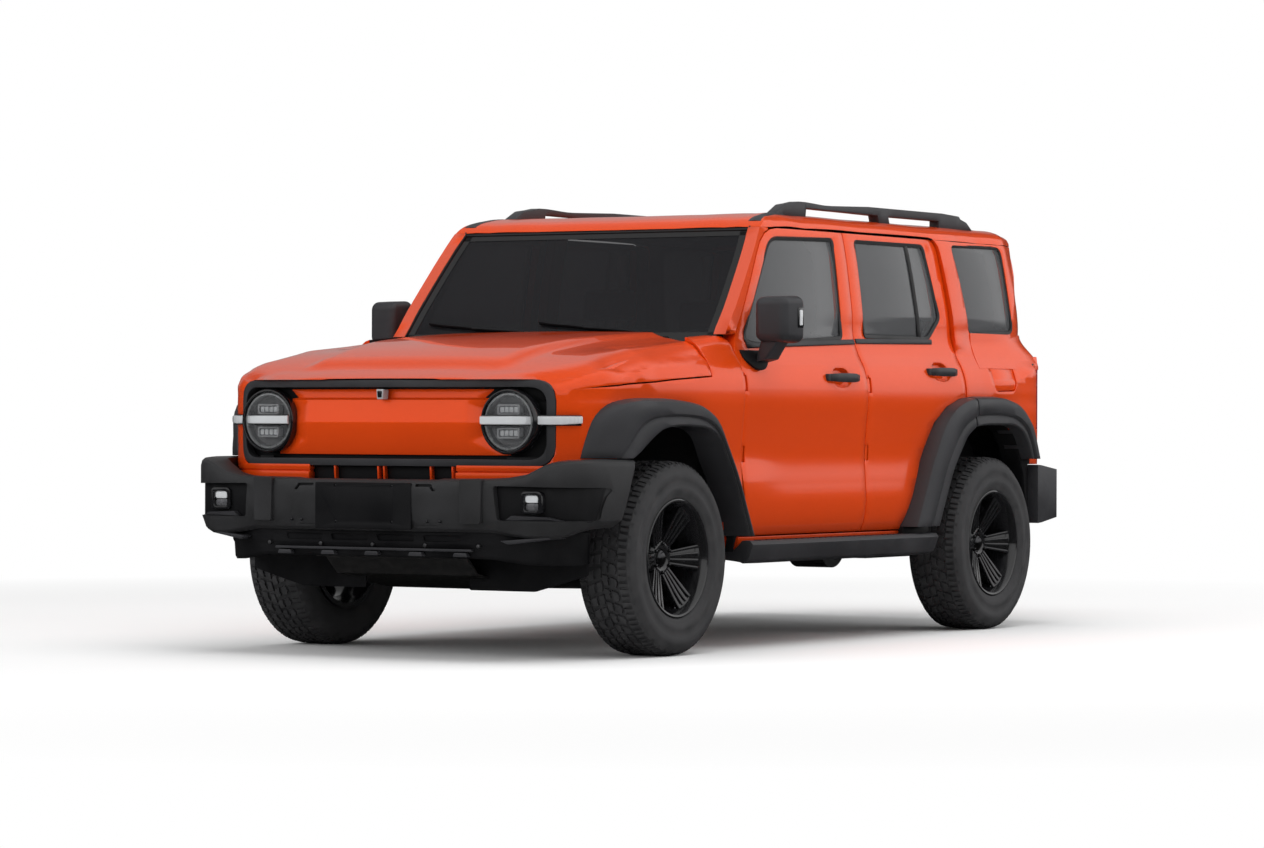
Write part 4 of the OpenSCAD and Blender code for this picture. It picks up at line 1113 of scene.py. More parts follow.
line = mirrored(BUMPER_PATH)
rings = []
for i, (x, s) in enumerate(line):
    t = tangent(line, i)
    ring = bumper_ring(abs(x), s, Vector((abs(t.x), t.y if x >= 0 else -t.y)))
    if x < 0:
        ring = [Vector((-p.x, p.y, p.z)) for p in ring]
    rings.append(ring)
beam = skin_over("front_bumper_beam", rings)
for v in beam.data.vertices:
    s = (v.co.y - AXLE_Y) * 1000
    v.co.y += 0.00042 * (v.co.z * 1000 - 700) * min(1.0, max(0.0, (s + 620) / 215)) * (abs(v.co.x) > 0.8)
tools = []
for h in (1, -1):
    pocket = [(588, 682), (952, 676), (938, 548), (602, 548)]
    pocket = soften([(h * a, b) for a, b in pocket], 12, 3)
    tool = board("pocket", pocket, "Y", -900, -600)
    gridded(tool, "X", [h * v for v in steps(600, 940, 26)])
    for v in tool.data.vertices:  # the pocket's floor follows the corner
        x = abs(v.co.x) * 1000
        if v.co.y > (-700 / 1000 + AXLE_Y):
            v.co.y = (bumper_front(x) + 34 + 30 * max(0, x - 850) / 100) / 1000 + AXLE_Y
    tools.append(tool)
    slot_line = soften([(h * 244, 686), (h * 318, 686), (h * 326, 672), (h * 338, 660), (h * 322, 658),
                        (h * 310, 675), (h * 244, 675)], 3, 2)
    tools.append(board("slot", slot_line, "Y", -900, -838))
    tools.append(board("groove", oblong(h * 244, h * 440, 520, 526), "Y", -900, -836))
cut(beam, *tools)
soft_edges(beam, 4, 3, 30, 35)
fit(beam, "body", "trim", BUMPER_PLASTIC, stands_for=("front_bumper",))

for_plate = board("plate_panel", soft_oblong(-232, 226, 508, 690, 6, 3), "Y", -859.5, -846)
screws = [rod("hole", (x, -870, z), (x, -852, z), 6, 16) for x in (-135, 135) for z in (536, 676)]
cut(for_plate, *screws)
fit(soft_edges(for_plate, 1.5), "body", "trim", DARK_PLASTIC)
heads = join("plate_screws", *[rod("head", (x, -857, z), (x, -848, z), 5, 12) for x in (-135, 135)
    for z in (536, 676)])
fit(soft_edges(heads, 0.8), "body", "trim", GLOSS)
dots = join("bumper_screws", *[rod("dot", (x, bumper_front(x) + 0.5, z), (x, bumper_front(x) + 8, z), 5, 12)
                               for x, z in ((-355, 540), (355, 540), (-300, 540), (300, 540))])
fit(soft_edges(dots, 0.8), "body", "trim", GLOSS)

pad = board("bumper_block", soften([(448, 706), (546, 708), (542, 536), (452, 534)], 8, 3), "Y", -9, 34)
both(soft_edges(on_bumper(pad), 6, 3), "bumper_block", "body", "trim", BUMPER_PLASTIC)

pocket = board("fog_pocket", soften([(584, 690), (946, 684), (932, 542), (596, 542)], 12, 3), "Y", 28, 40)
gridded(pocket, "X", steps(590, 940, 14))
both(soft_edges(on_bumper(pocket), 1), "fog_pocket", "body", "trim", DARK_PLASTIC)
shelf = board("fog_shelf", [(640, 550), (860, 549), (808, 563), (664, 568)], "Y", 2, 34)
both(soft_edges(on_bumper(shelf), 2), "fog_shelf", "body", "trim", PLASTIC)
frame_ring = board("fog_frame", soften([(698, 662), (792, 662), (796, 576), (694, 576)], 20, 5), "Y", -800, -752)
cut(frame_ring, board("opening", soft_oblong(712, 776, 648, 586, 16, 5), "Y", -860, -780))
both(soft_edges(frame_ring, 3), "fog_frame", "body", "trim", GLOSS)
plate(both, "fog_lens", soft_oblong(713, 775, 647, 618, 13, 5), "Y", -794, -776, (4, 3), "body", "lens", GUIDE)
plate(both, "fog_reflector", soft_oblong(713, 775, 616, 587, 13, 5), "Y", -789, -776, (3,), "body", "lens",
      metal("fog_reflector_metal", (0.10, 0.10, 0.11), (0.18, 0.18, 0.19), (0.2, 0.35), 0.4))

# lower valance
rings = []
for x, s in mirrored([(0, -800), (300, -800), (540, -792), (680, -750), (760, -700), (800, -610), (806, -560)]):
    low = graph(abs(x), [0, 520, 700, 806], [398, 398, 372, 372])
    rings.append([place(x, s + d, z) for d, z in ((90, 500), (0, 500), (6, 452), (16, 440), (22, low + 14),
        (34, low), (90, low + 4))])
valance = skin_over("front_valance", rings)
bays = [board("bay", soften([(x - 90, 486), (x + 90, 486), (x + 84, 462), (x - 84, 462)], 5, 2), "Y", -830, -785)
        for x in (-330, -110, 110, 330)]
cut(valance, *bays)
# The valance takes the underbody finish: black plastic, darkened further as painted shade below the bumper.
fit(soft_edges(valance, 3, 2), "body", "trim", UNDERSIDE_WITH_PAINTED_SHADE)
plate(fit, "valance_bar", soft_oblong(-470, 470, 424, 434, 3, 2), "Y", -800, -782, (2,), "body", "trim", PLASTIC)
lugs = join("valance_lugs", *[board("lug", soften([(x - 34, 404), (x + 34, 404), (x + 28, 420), (x - 28, 420)], 4,
    2), "Y", -806, -782) for x in (-420, -210, 0, 210, 420)])
fit(soft_edges(lugs, 2), "body", "trim", PLASTIC)
bolts = join("valance_bolts", *[rod("bolt", (x, -799, 446), (x, -786, 446), 8, 12)
    for x in (-500, -250, 0, 250, 500)])
fit(soft_edges(bolts, 1), "body", "trim", CAST)
wing = board("corner_winglet", [(610, 470), (800, 486), (806, 478), (640, 456)], "Y", -815, -700)
for v in wing.data.vertices:
    v.co.y += graph(v.co.x * 1000, [600, 810], [0, 60]) / 1000
both(soft_edges(wing, 3), "corner_winglet", "body", "trim", PLASTIC)


# ---------------------------------------------------------------- flares
def flare(name, outer, inner, width, n):
    """A wheel-arch flare with a stepped face, from its outer line to the arch."""
    o, i = rounded(outer, n, 2), rounded(inner, n, 2)
    rings = []
    for (so, zo), (si, zi) in zip(o, i):
        surf = side_x(zo)
        surf_i = side_x(zi)
        ring = []
        for f, x, d in ((0.0, surf, -14), (0.0, surf, 8), (0.05, 0, -14), (0.13, 0, -4), (0.30, 0, -1),
                        (0.56, 0, -0.5), (0.60, 0, -4), (0.635, 0, -14), (0.66, 0, -15), (0.72, 0, -12),
                        (0.93, 0, -9), (0.99, 0, -14), (1.0, 0, -24), (1.0, surf_i, -70), (0.93, surf_i, -70),
                        (0.90, surf_i, -14)):
            s, z = so + (si - so) * f, zo + (zi - zo) * f
            base = min(x, edge_plan(s)) if x else width(s)
            ring.append(place(base + d, s, z))
        rings.append(ring)
    obj = skin_over(name, rings)
    return soft_edges(obj, 1.2, 2, 45, 38)


FRONT_OUT = [(-575, 788), (-556, 868), (-534, 945), (-506, 980), (-458, 1006), (-310, 1024), (-60, 1024),
             (130, 1005), (250, 955), (330, 842), (410, 730), (478, 598), (546, 466)]
FRONT_IN = [(-380, 788), (-346, 800), (-240, 862), (-150, 906), (0, 915), (188, 907), (275, 872), (335, 784),
            (396, 696), (455, 580), (512, 466)]
REAR_OUT = [(1956, 476), (2033, 618), (2110, 760), (2229, 930), (2330, 1000), (2450, 1036), (2560, 1048),
            (2808, 1048), (2973, 1014), (3110, 918), (3187, 765)]
REAR_IN = [(2177, 476), (2244, 600), (2312, 723), (2440, 868), (2530, 912), (2640, 920), (2894, 921), (2990, 893),
           (3070, 820), (3096, 765)]


def split(line, at, before):
    """The part of a line before or after a station."""
    out = [p for p in line if (p[0] < at if before else p[0] > at)]
    z = graph(at, [p[0] for p in line], [p[1] for p in line])
    return out + [(at, z)] if before else [(at, z)] + out


def front_width(s):
    return graph(s, [-590, -550, -500, -440, -380], [838, 872, 912, 946, 964])


both(flare("front_flare", FRONT_OUT, FRONT_IN, front_width, 44), "front_flare", "body", "trim", PLASTIC,
     stands_for=("front_flares",))
both_hands(flare("door_flare", split(REAR_OUT, 2519, True), split(REAR_IN, 2519, True), lambda s: 964.5, 26),
           "door_flare", "rear_door", "trim", PLASTIC)
both(flare("rear_flare", split(REAR_OUT, 2528, False), split(REAR_IN, 2528, False),
           lambda s: graph(s, [2500, 3000, 3190], [964.5, 962, 948]), 28), "rear_flare", "body", "trim", PLASTIC,
           stands_for=("rear_flares",))

plate(both, "lower_shield", soften([(250, 262), (560, 262), (700, 300), (806, 330), (806, 500), (250, 500)], 10, 3),
      "Y", -486, -478, (2,), "body", "underbody", UNDERSIDE_WITH_PAINTED_SHADE)


under_lip = board("hood_seal", [(-690, 1010), (690, 1010), (690, 1062), (600, 1096.5), (-600, 1096.5),
    (-690, 1062)], "Y", 46, 60)
gridded(under_lip, "X", steps(-690, 690, 30))
to_nose(under_lip)
fit(soft_edges(under_lip, 1), "body", "trim", DARK_PLASTIC)


# ---------------------------------------------------------------- wheels
HUB = place(0, 0, TYRE_R)
SPARE = (0, 3767, 1115)  # middle of the spare wheel


# one pitch of the tread: the depth of each block, and its corners as (distance across, angle in degrees)
TREAD = ((9.5, ((3, 0), (24, 0.8), (30, 2.4), (24, 3.4), (27, 6.6), (6, 6.2), (3, 4.4))),
         (9.5, ((35, 1.2), (62, 2.8), (68, 5.0), (60, 8.2), (38, 7.2), (41, 4.6))),
         (11, ((74, 0.4), (104, 1.0), (119, 1.2), (119, 4.0), (102, 4.2), (72, 3.8))),
         (11, ((76, 5.0), (103, 5.3), (112, 5.4), (112, 7.5), (102, 7.5), (78, 7.4))),
         (6, ((121.5, 0.6), (130, 1.0), (130, 3.2), (121.5, 3.8))))


def wheel_pieces():
    """One wheel with its middle on the front axle at x 0 and its face towards +X."""
    centre, axis = HUB, ACROSS
    carcass = [(RIM_R + 9, -110), (RIM_R + 30, -124), (RIM_R + 62, -130), (RIM_R + 105, -132), (362, -121),
               (375, -108), (379, -90), (379, 90), (375, 108), (362, 121), (350, 128), (346, 129.6), (343, 131.6),
               (333, 132.3), (318, 132.4), (314, 130.6), (300, 130.8), (288, 130.2), (284, 131.8), (268, 130.4),
               (262, 127.4), (252, 124), (244, 120), (240, 117), (RIM_R + 9, 112), (RIM_R + 2, 100),
               (RIM_R + 2, -100), (RIM_R + 9, -110)]
    tyre = turned("tyre", carcass, centre, axis, 96)

    def top(x):
        x = abs(x)
        return graph(x, [0, 88, 106, 120, 131], [388, 387.5, 382, 364, 340])

    def lug(points, deep):
        """A tread block over (distance across, angle in degrees) corners."""
        n = len(points)
        clear()
        bpy.ops.mesh.primitive_cylinder_add(vertices=n, radius=1, depth=2, end_fill_type="NGON")
        obj = bpy.context.object
        mx, ma = sum(p[0] for p in points) / n, sum(p[1] for p in points) / n
        for v in obj.data.vertices:
            x, a = points[v.index // 2]
            r = top(x)
            if v.index % 2:  # the outer face is a little smaller
                x, a = x + (mx - x) * 0.05, a + (ma - a) * 0.05
            else:
                r -= deep
            v.co = centre + Vector((x, -r * math.sin(math.radians(a)), r * math.cos(math.radians(a)))) / 1000
        return obj

    rows = 44
    pitch = 360 / rows
    blocks = []
    for h in (1, -1):
        o = 0 if h > 0 else pitch / 2
        blocks += [lug([(h * x, o + a) for x, a in corners], deep) for deep, corners in TREAD]
    tread = join("tread", *blocks)
    outward(tread)
    ringed = [tread] + [twin(tread, "t", about(centre, math.radians(pitch * k), "X"))
                        for k in range(1, rows)]
    tyre = join("tyre", tyre, *ringed)
    soft_edges(tyre, 0, shade=30)

    barrel = turned("barrel", [(RIM_R + 8, -118), (RIM_R - 1, -100), (RIM_R - 17, -44), (RIM_R - 17, 58),
        (RIM_R - 2, 98), (RIM_R + 7, 110), (RIM_R + 9, 117), (RIM_R + 4, 119.5), (RIM_R - 3, 117), (RIM_R - 9, 108),
        (RIM_R - 13, 96), (RIM_R - 24, 60), (RIM_R - 28, 20), (RIM_R - 30, -42), (RIM_R - 12, -118),
        (RIM_R + 8, -118)], centre, axis, 96)
    soft_edges(barrel, 0, shade=35)

    def dish(r):
        return graph(r, [0, 52, 90, 160, 200, 222], [34, 40, 52, 72, 88, 100])

    def across(points, low, high):
        """A plate on the wheel's face over (across, outwards) corners, following its dish."""
        n = len(points)
        clear()
        bpy.ops.mesh.primitive_cylinder_add(vertices=n, radius=1, depth=2, end_fill_type="NGON")
        obj = bpy.context.object
        for v in obj.data.vertices:
            w, r = points[v.index // 2]
            h = dish(r) + (high if v.index % 2 else low)
            v.co = centre + Vector((h, w, r)) / 1000
        return obj

    def bar(w0, w1, ra, rb, wa, wb, low, high):
        n = 6
        left = [(w0 + (wa - w0) * k / n, ra + (rb - ra) * k / n) for k in range(n + 1)]
        right = [(w1 + (wb - w1) * k / n, ra + (rb - ra) * k / n) for k in range(n + 1)]
        return across(left + right[::-1], low, high)

    parts = [bar(-26, 26, 50, 208, -48, 48, -26, -10)]
    for a, b, c, d in ((-28, -17, -51, -37), (-12, -2, -22, -6), (2, 12, 6, 22), (17, 28, 37, 51)):
        parts.append(bar(a, b, 56, 205, c, d, -16, 0))
    spoke = join("spoke", *parts, bar(-46, 46, 196, 216, -54, 54, -24, -6))
    outward(spoke)
    soft_edges(spoke, 2.6, 2, 40, 35)
    spokes = [twin(spoke, "s", about(centre, math.radians(60 * k + 30), "X")) for k in range(6)]
    bpy.data.objects.remove(spoke)
    hub = turned("hub", [(33, 12), (33, 30), (36, 38), (44, 42), (58, 44), (70, 40), (80, 30), (84, 16), (80, -6),
                         (34, -6), (33, 12)], centre, axis, 48)
    soft_edges(hub, 1)
    cap = turned("cap", [(0, 52), (14, 51.5), (22, 49), (24, 45), (27, 44), (31, 42), (33, 36), (33, 22), (0, 22)],
                 centre, axis, 48)
    soft_edges(cap, 0.6)
    around_hub = [(57 * math.sin(a), TYRE_R + 57 * math.cos(a)) for a in (math.radians(60 * k) for k in range(6))]
    nuts = join("lug_nuts", *[rod("nut", (30, *at), (52, *at), 9, 6, 7) for at in around_hub])
    soft_edges(nuts, 1)
    valve = rod("valve", (88, 0, TYRE_R - 200), (104, 0, TYRE_R - 196), 3.5, 12)
    rim = join("rim", barrel, *spokes, hub)
    small = join("hub_fittings", cap, nuts, valve)
    return {"tyre": (tyre, RUBBER, "tyre"), "rim": (rim, RIM_BLACK, "rim"),
            "hub_fittings": (small, metal("dark_nut_metal", (0.05, 0.05, 0.052), (0.10, 0.10, 0.105), (0.15, 0.28)),
                             "rim")}


built = wheel_pieces()
for where, station in (("front", 0), ("rear", REAR_AXLE)):
    for hand, h in (("left", 1), ("right", -1)):
        corner = where + "_" + hand
        for kind, (obj, finish, slot) in built.items():
            turn = Matrix.Identity(4) if h > 0 else about(HUB, math.pi, "Z")
            move = Matrix.Translation((h * HALF_TRACK / 1000, station / 1000, 0)) @ turn
            copy = twin(obj, "%s_%s" % (kind, corner), move)
            fit(copy, "wheel_" + corner, slot, finish, stands_for=("%s_%s" % (kind, corner),)
                if kind != "hub_fittings" else ())
to_gate = Matrix.Translation((0, SPARE[1] / 1000, (SPARE[2] - TYRE_R) / 1000)) @ about(HUB, math.pi / 2, "Z")
spare = twin(built["tyre"][0], "spare_tyre", to_gate)
fit(spare, "tailgate", "tyre", RUBBER, stands_for=("spare_wheel",))
for obj, _, _ in built.values():
    bpy.data.objects.remove(obj)
lid = turned("spare_cover", [(0, 128), (90, 127), (190, 122), (232, 116), (244, 108), (250, 96), (246, 90),
    (236, 92), (228, 100), (186, 112), (90, 118), (0, 119)], place(*SPARE), ALONG, 96)
fit(soft_edges(lid, 0), "tailgate", "trim", PLASTIC)
boss = turned("spare_cover_boss", [(0, 131.5), (54, 131), (70, 129), (78, 122), (0, 120)], place(*SPARE), ALONG, 64)
fit(soft_edges(boss, 0), "tailgate", "trim", GLOSS)
drum = turned("spare_rim", [(60, -60), (RIM_R - 20, -60), (RIM_R - 4, -112), (RIM_R + 6, -116), (RIM_R + 6, -106),
    (RIM_R - 2, 80), (RIM_R - 30, 84), (60, -40), (60, -60)], place(*SPARE), ALONG, 72)
fit(soft_edges(drum, 0), "tailgate", "rim", RIM_BLACK)

# brakes: a disc at each corner
for where, station in (("front", 0), ("rear", REAR_AXLE)):
    c = place(0, station, TYRE_R)
    disc = turned("disc", [(60, 758), (62, 752), (150, 752), (150, 762), (148, 762), (148, 766), (150, 766),
                           (150, 776), (70, 776), (64, 782), (50, 782), (50, 758), (60, 758)], c, ACROSS, 64)
    soft_edges(disc, 0)
    if where == "front":
        both_hands(disc, "brake_disc_front", "knuckle", "chassis", STEEL)
    else:
        both(disc, "brake_disc_rear", "body", "chassis", STEEL)


# ---------------------------------------------------------------- side trim
def window_seal(name, points, width, proud=2.0):
    """A rubber frame around a window, following the body side."""
    rings = []
    for (so, zo), (si, zi) in zip(grow(points, 3), grow(points, -width)):
        xo, xi = side_x(zo), side_x(zi)
        rings.append([place(xo - 8, so, zo), place(xo + proud, so, zo),
                      place(xo + proud, so + (si - so) * 0.35, zo + (zi - zo) * 0.35), place(xi - 2, si, zi),
                      place(xi - 16, si, zi), place(xo - 16, so, zo)])
    rings.append(rings[0])
    return soft_edges(skin_over(name, rings, caps=False), 0, shade=50)


for door, window, radii in (("front_door", FRONT_WINDOW, FRONT_WINDOW_R),
        ("rear_door", REAR_WINDOW, REAR_WINDOW_R)):
    both_hands(window_seal(door + "_seal", soften(window, radii, 7), 13), door + "_seal", door, "trim", SEAL)
both(window_seal("quarter_seal", soften(QUARTER_WINDOW, 45, 9), 9, 1.0), "quarter_seal", "body", "trim", SEAL)


def belt_strip(name, a, b, za, zb, height=22):
    line = [(a + (b - a) * k / 12, za + (zb - za) * k / 12) for k in range(13)]
    section = ((-0.5, -2), (-0.5, 3), (-0.2, 5.5), (0.3, 5.5), (0.5, 3), (0.5, -2))
    rings = [[place(side_x(z + height * h) + d, s, z + height * h) for h, d in section] for s, z in line]
    return soft_edges(skin_over(name, rings), 0.6)


for end, *line in (("front", 672, 1602, 1246, 1276), ("rear", 1620, 2318, 1279, 1288)):
    both_hands(belt_strip("strip", *line), end + "_belt_strip", end + "_door", "trim", PLASTIC)
bar = [[place(side_x(z) + d, s + e, z) for e, d in ((-15, -16), (-15, -3), (-8, -1), (8, -1), (15, -3), (15, -16))]
       for s, z in [(2222 - 40 * k / 9, 1296 + 422 * k / 9) for k in range(10)]]
both_hands(soft_edges(skin_over("window_divider", bar), 1), "window_divider", "rear_door", "trim", SEAL)


def handle(name, s0, s1, z, body):
    """A pull handle over a scoop in the door's skin."""
    mid = (s0 + s1) / 2
    x = side_x(z)
    pts = [(s0, x + 4), (s0 + 12, x + 20), (s0 + 34, x + 30), (mid, x + 34), (s1 - 34, x + 30), (s1 - 12, x + 20),
           (s1, x + 4)]
    pts = rounded(pts, 19, 1)
    rings = []
    for k, (s, px) in enumerate(pts):
        t = abs(k - 9) / 9
        h = 19 - 6 * t ** 3
        rings.append([place(px + d, s, z + v * h) for v, d in ((-1, -9), (-1, -3), (-0.55, 1), (0.55, 1), (1, -3),
            (1, -9), (0.5, -13), (-0.5, -13))])
    grip = soft_edges(skin_over(name, rings), 0, shade=50)
    feet = []
    for s in (s0 + 6, s1 - 6):
        feet.append(soft_edges(board("foot", soft_oblong(s - 17, s + 17, z - 15, z + 15, 8, 3), "X", x - 6, x + 14),
                               5, 3))
    return both_hands(join(name, grip, *feet), name, body, "trim", PLASTIC)


handle("front_handle", 1262, 1516, 1120, "front_door")
handle("rear_handle", 2190, 2436, 1154, "rear_door")

# fuel flap, set into the left quarter
flap = board("fuel_flap", soften([(2812, 1074), (3026, 1080), (3020, 1264), (2806, 1260)], 36, 6), "X", 858, 893)
gridded(flap, "Z", steps(1074, 1264, 18))
for v in flap.data.vertices:
    z = v.co.z * 1000
    outer = v.co.x > 0.875
    s = (v.co.y - AXLE_Y) * 1000
    v.co.x = (min(side_x(z), edge_plan(s)) - (1.5 if outer else 30)) / 1000
fit(soft_edges(flap, 2), "body", "paint", PAINT)

# mirrors
shell = block("mirror_shell", 888, 1050, 636, 792, 1254, 1452)
for v in shell.data.vertices:
    x, s, z = v.co.x * 1000, (v.co.y - AXLE_Y) * 1000, v.co.z * 1000
    if s < 700:
        x = 969 + (x - 969) * 0.86
        z = 1353 + (z - 1353) * 0.92
    v.co = place(x, s + 12 * (x - 969) / 81, z)
soft_edges(shell, 34, 7, 30, 40)
for obj, hand in zip(both_hands(shell, "mirror_shell", "front_door", "trim", PLASTIC), ("left", "right")):
    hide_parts("mirror_" + hand)
plate(both_hands, "mirror_glass", soft_oblong(918, 1022, 1286, 1424, 24, 5), "Y", 788, 800, (2,), "front_door",
      "glass", metal("mirror_silver", (0.75, 0.76, 0.78), (0.8, 0.81, 0.83), (0.02, 0.04)))
rings = []
for t in (0.0, 0.3, 0.6, 0.85, 1.0):
    x0, x1 = 884 + 24 * t, 938 + 62 * t
    s0, s1 = 664 + 6 * t, 776 - 10 * t
    z = 1176 + 96 * t
    rings.append([place(x, s, z + 0.25 * (1 - t) * (x - x0)) for x, s in soft_oblong(x0, x1, s0, s1, 14, 3)])
arm = skin_over("mirror_arm", rings)
both_hands(soft_edges(arm, 3, 3, 50), "mirror_arm", "front_door", "trim", PLASTIC)
rings = []
for k in range(15):
    t = k / 14
    s = 600 + 222 * t
    low = 1206 - 56 * math.sin(math.pi * min(1.0, t * 1.15)) ** 0.8 - 10 * (1 - t)
    proud = 8 + 22 * math.sin(math.pi * t)
    rings.append([place(side_x(z) + d, s, z) for d, z in ((-12, 1226), (proud * 0.8, 1226), (proud, 1218),
        (proud, 0.5 * (1218 + low)), (proud * 0.7, low), (-12, low - 3))])
foot = skin_over("mirror_foot", rings)
both_hands(soft_edges(foot, 1.5, 2, 50), "mirror_foot", "front_door", "trim", DARK_PLASTIC)
plate(both_hands, "mirror_signal", soft_oblong(748, 772, 1328, 1392, 5, 2), "X", 1030, 1052, (3,), "front_door",
      "lens", GUIDE)
plate(both_hands, "mirror_lamp_frame", soft_oblong(738, 784, 1318, 1402, 7, 2), "X", 1028, 1049, (3,), "front_door",
      "trim", GLOSS)


# ---------------------------------------------------------------- rails, steps and rear bumper
def rail_form(x, s, z):
    t = (s - s.min()) / (s.max() - s.min())
    top = smoothstep(z, z.min() + 30, z.max() - 16)
    s = s - 88 * (1 - smoothstep(t, 0.0, 0.33)) * (0.55 + 0.45 * (1 - top))
    bar = smoothstep(t, 0.10, 0.24)
    z = z - top * (11 + 15 * bar) - 9 * np.exp(-((z - z.max() + 36) / 12) ** 2) * bar
    return x - 6 * top, s, z


def step_form(x, s, z):
    low = 1 - smoothstep(z, z.min(), z.max())
    t = (s - s.min()) / (s.max() - s.min())
    ends = (1 - smoothstep(t, 0.0, 0.05)) + smoothstep(t, 0.95, 1.0)
    return x - 26 * low * smoothstep(x, 860, 930) - 18 * ends * smoothstep(x, 900, 940), s, z


def bumper_taper(x, s, z):
    middle = (z.min() + z.max()) / 2
    back = np.clip((s - 3190) / 310, 0, 1)
    z = z + np.where(z > middle, -36, 40) * back * smoothstep(x, 560, 760)
    return x - 46 * smoothstep(s, s.max() - 130, s.max()) * smoothstep(x, 780,
        930), s - 26 * smoothstep(x, 600, 960) * back, z


panel("roof_rails", "roof_rail_pair", "body", "trim", (PLASTIC,), {"Y": steps(1150, 3100, 50)}, (rail_form,), 6.0)
side_steps = panel("running_boards", "side_steps", "body", "trim", (PLASTIC,),
                   {"Y": steps(520, 2120, 90), "X": both_ways(820, 960, 30)}, (step_form,), 7.0)
panel("rear_bumper", "rear_bumper_beam", "body", "trim", (PLASTIC,),
                  {"Y": steps(3160, 3620, 30), "X": both_ways(240, 980, 60)}, (bumper_taper,), 9.0)
pads = []
for k in range(26):
    s = 640 + 50 * k
    hit, at, *_ = side_steps.ray_cast(place(912, s, 900), DOWN)
    if hit:
        z = at.z * 1000
        pads.append(block("tread", 896, 930, s, s + 36, z - 4, z + 2.5))
if pads:
    both(soft_edges(join("step_treads", *pads), 1.2), "step_treads", "body", "trim", DARK_PLASTIC)


# ---------------------------------------------------------------- windscreen, cowl and wipers
# station and height of the windscreen's lower edge, and the run from there to its upper edge
SCREEN_FOOT, SCREEN_RUN = (516, 1262), (405.2, 482.4)
SCREEN_NORMAL = (0, -0.766, 0.643)


def on_screen(x, t, off=0.0):
    """A place on the windscreen: t runs from its lower edge, 0, to its upper edge, 1."""
    s, z = (foot + run * t for foot, run in zip(SCREEN_FOOT, SCREEN_RUN))
    return place(x, s + SCREEN_NORMAL[1] * off, z + SCREEN_NORMAL[2] * off)


def screen_edge(t):
    return side_x(SCREEN_FOOT[1] + SCREEN_RUN[1] * t) - 56


def across_screen(t, at, n=14):
    """A row of (x, t) corners from side to side."""
    half = screen_edge(t)
    return [(-half + 2 * half * k / n, at) for k in range(n + 1)]


def up_screen(h, inset, n=14):
    """A row of (x, t) corners along one side."""
    return [(h * (screen_edge(k / n) - inset), k / n) for k in range(n + 1)]


def band(name, a, b):
    """A thin black band on the glass between two rows of (x, t) corners."""
    rings = [[on_screen(*p, 1.5), on_screen(*q, 1.5), on_screen(*q, 0.3), on_screen(*p, 0.3)] for p, q in zip(a, b)]
    return skin_over(name, rings)


frit = [band("upper", across_screen(0.93, 0.925), across_screen(1, 1.0)),
        band("lower", across_screen(0, 0.0), across_screen(0.07, 0.075))]
for h in (1, -1):
    frit.append(band("side", up_screen(h, 2), up_screen(h, 40)))
frit = join("windscreen_band", *frit)
fit(soft_edges(frit, 0), "body", "trim", gloss_black("windscreen_print", (0.004, 0.004, 0.0045), 0.1))
for h in (1, -1):
    line = [on_screen(x, t, 6) for x, t in up_screen(h, -3, 16)]
    moulding = strip("m", line, [(-8, -6), (8, -6), (7, 2), (0, 5), (-7, 2)], tilt=SCREEN_NORMAL)
    fit(soft_edges(moulding, 0.6), "body", "trim", SEAL)
    moulding.name = "screen_moulding_" + hand_name(h)
top_line = [on_screen(x, t, 4) for x, t in across_screen(1, 0.985, 20)]
fit(soft_edges(strip("screen_header_seal", top_line, [(-9, -6), (9, -6), (8, 2), (-8, 2)], tilt=SCREEN_NORMAL),
               0.6), "body", "trim", SEAL)

panel("cowl", "cowl_panel", "body", "trim", (PLASTIC,), {"X": steps(-770, 770, 110)}, (), 2.5)
louvres = [board("louvre", oblong(x, x + 34, 482, 500), "Z", 1262.2, 1266.5) for x in range(-560, 606, 53)]
fit(soft_edges(join("cowl_louvres", *louvres), 1.5), "body", "trim", DARK_PLASTIC)


def wiper(name, pivot_x, tip_x):
    """A wiper parked along the lower edge of the windscreen."""
    p = place(pivot_x, 492, 1268)
    end = on_screen(tip_x, 0.10, 20)
    mid = p.lerp(end, 0.45) + Vector((0, -0.006, 0.016))
    arm_line = rounded([p, p.lerp(mid, 0.5) + Vector((0, 0, 0.008)), mid, mid.lerp(end, 0.5), end], 12)
    arm = strip("arm", arm_line, [(-5, -3), (5, -3), (4, 3), (-4, 3)], tilt=(0, -0.5, 0.8))
    way = 1 if tip_x > pivot_x else -1
    blade_line = [end + Vector((way * u, 0, 0)) for u in (-0.34, -0.2, -0.08, 0, 0.08, 0.18, 0.24)]
    blade_line = [Vector((v.x, *on_screen(0, 0.06 + 0.10 * (k / 6), 10).yz)) for k, v in enumerate(blade_line)]
    blade = strip("blade", blade_line, [(-4, -8), (4, -8), (5, 2), (2, 8), (-2, 8), (-5, 2)], tilt=SCREEN_NORMAL)
    knob = turned("knob", [(0, 16), (10, 15), (14, 10), (15, -6), (0, -6)], p, (0, 0, 1), 24)
    return fit(soft_edges(join(name, arm, blade, knob), 0.8), "body", "trim", DARK_PLASTIC)


wiper("wiper_left", 560, 130)
wiper("wiper_right", 40, -430)


# ---------------------------------------------------------------- cabin
DRIVER_X = -370


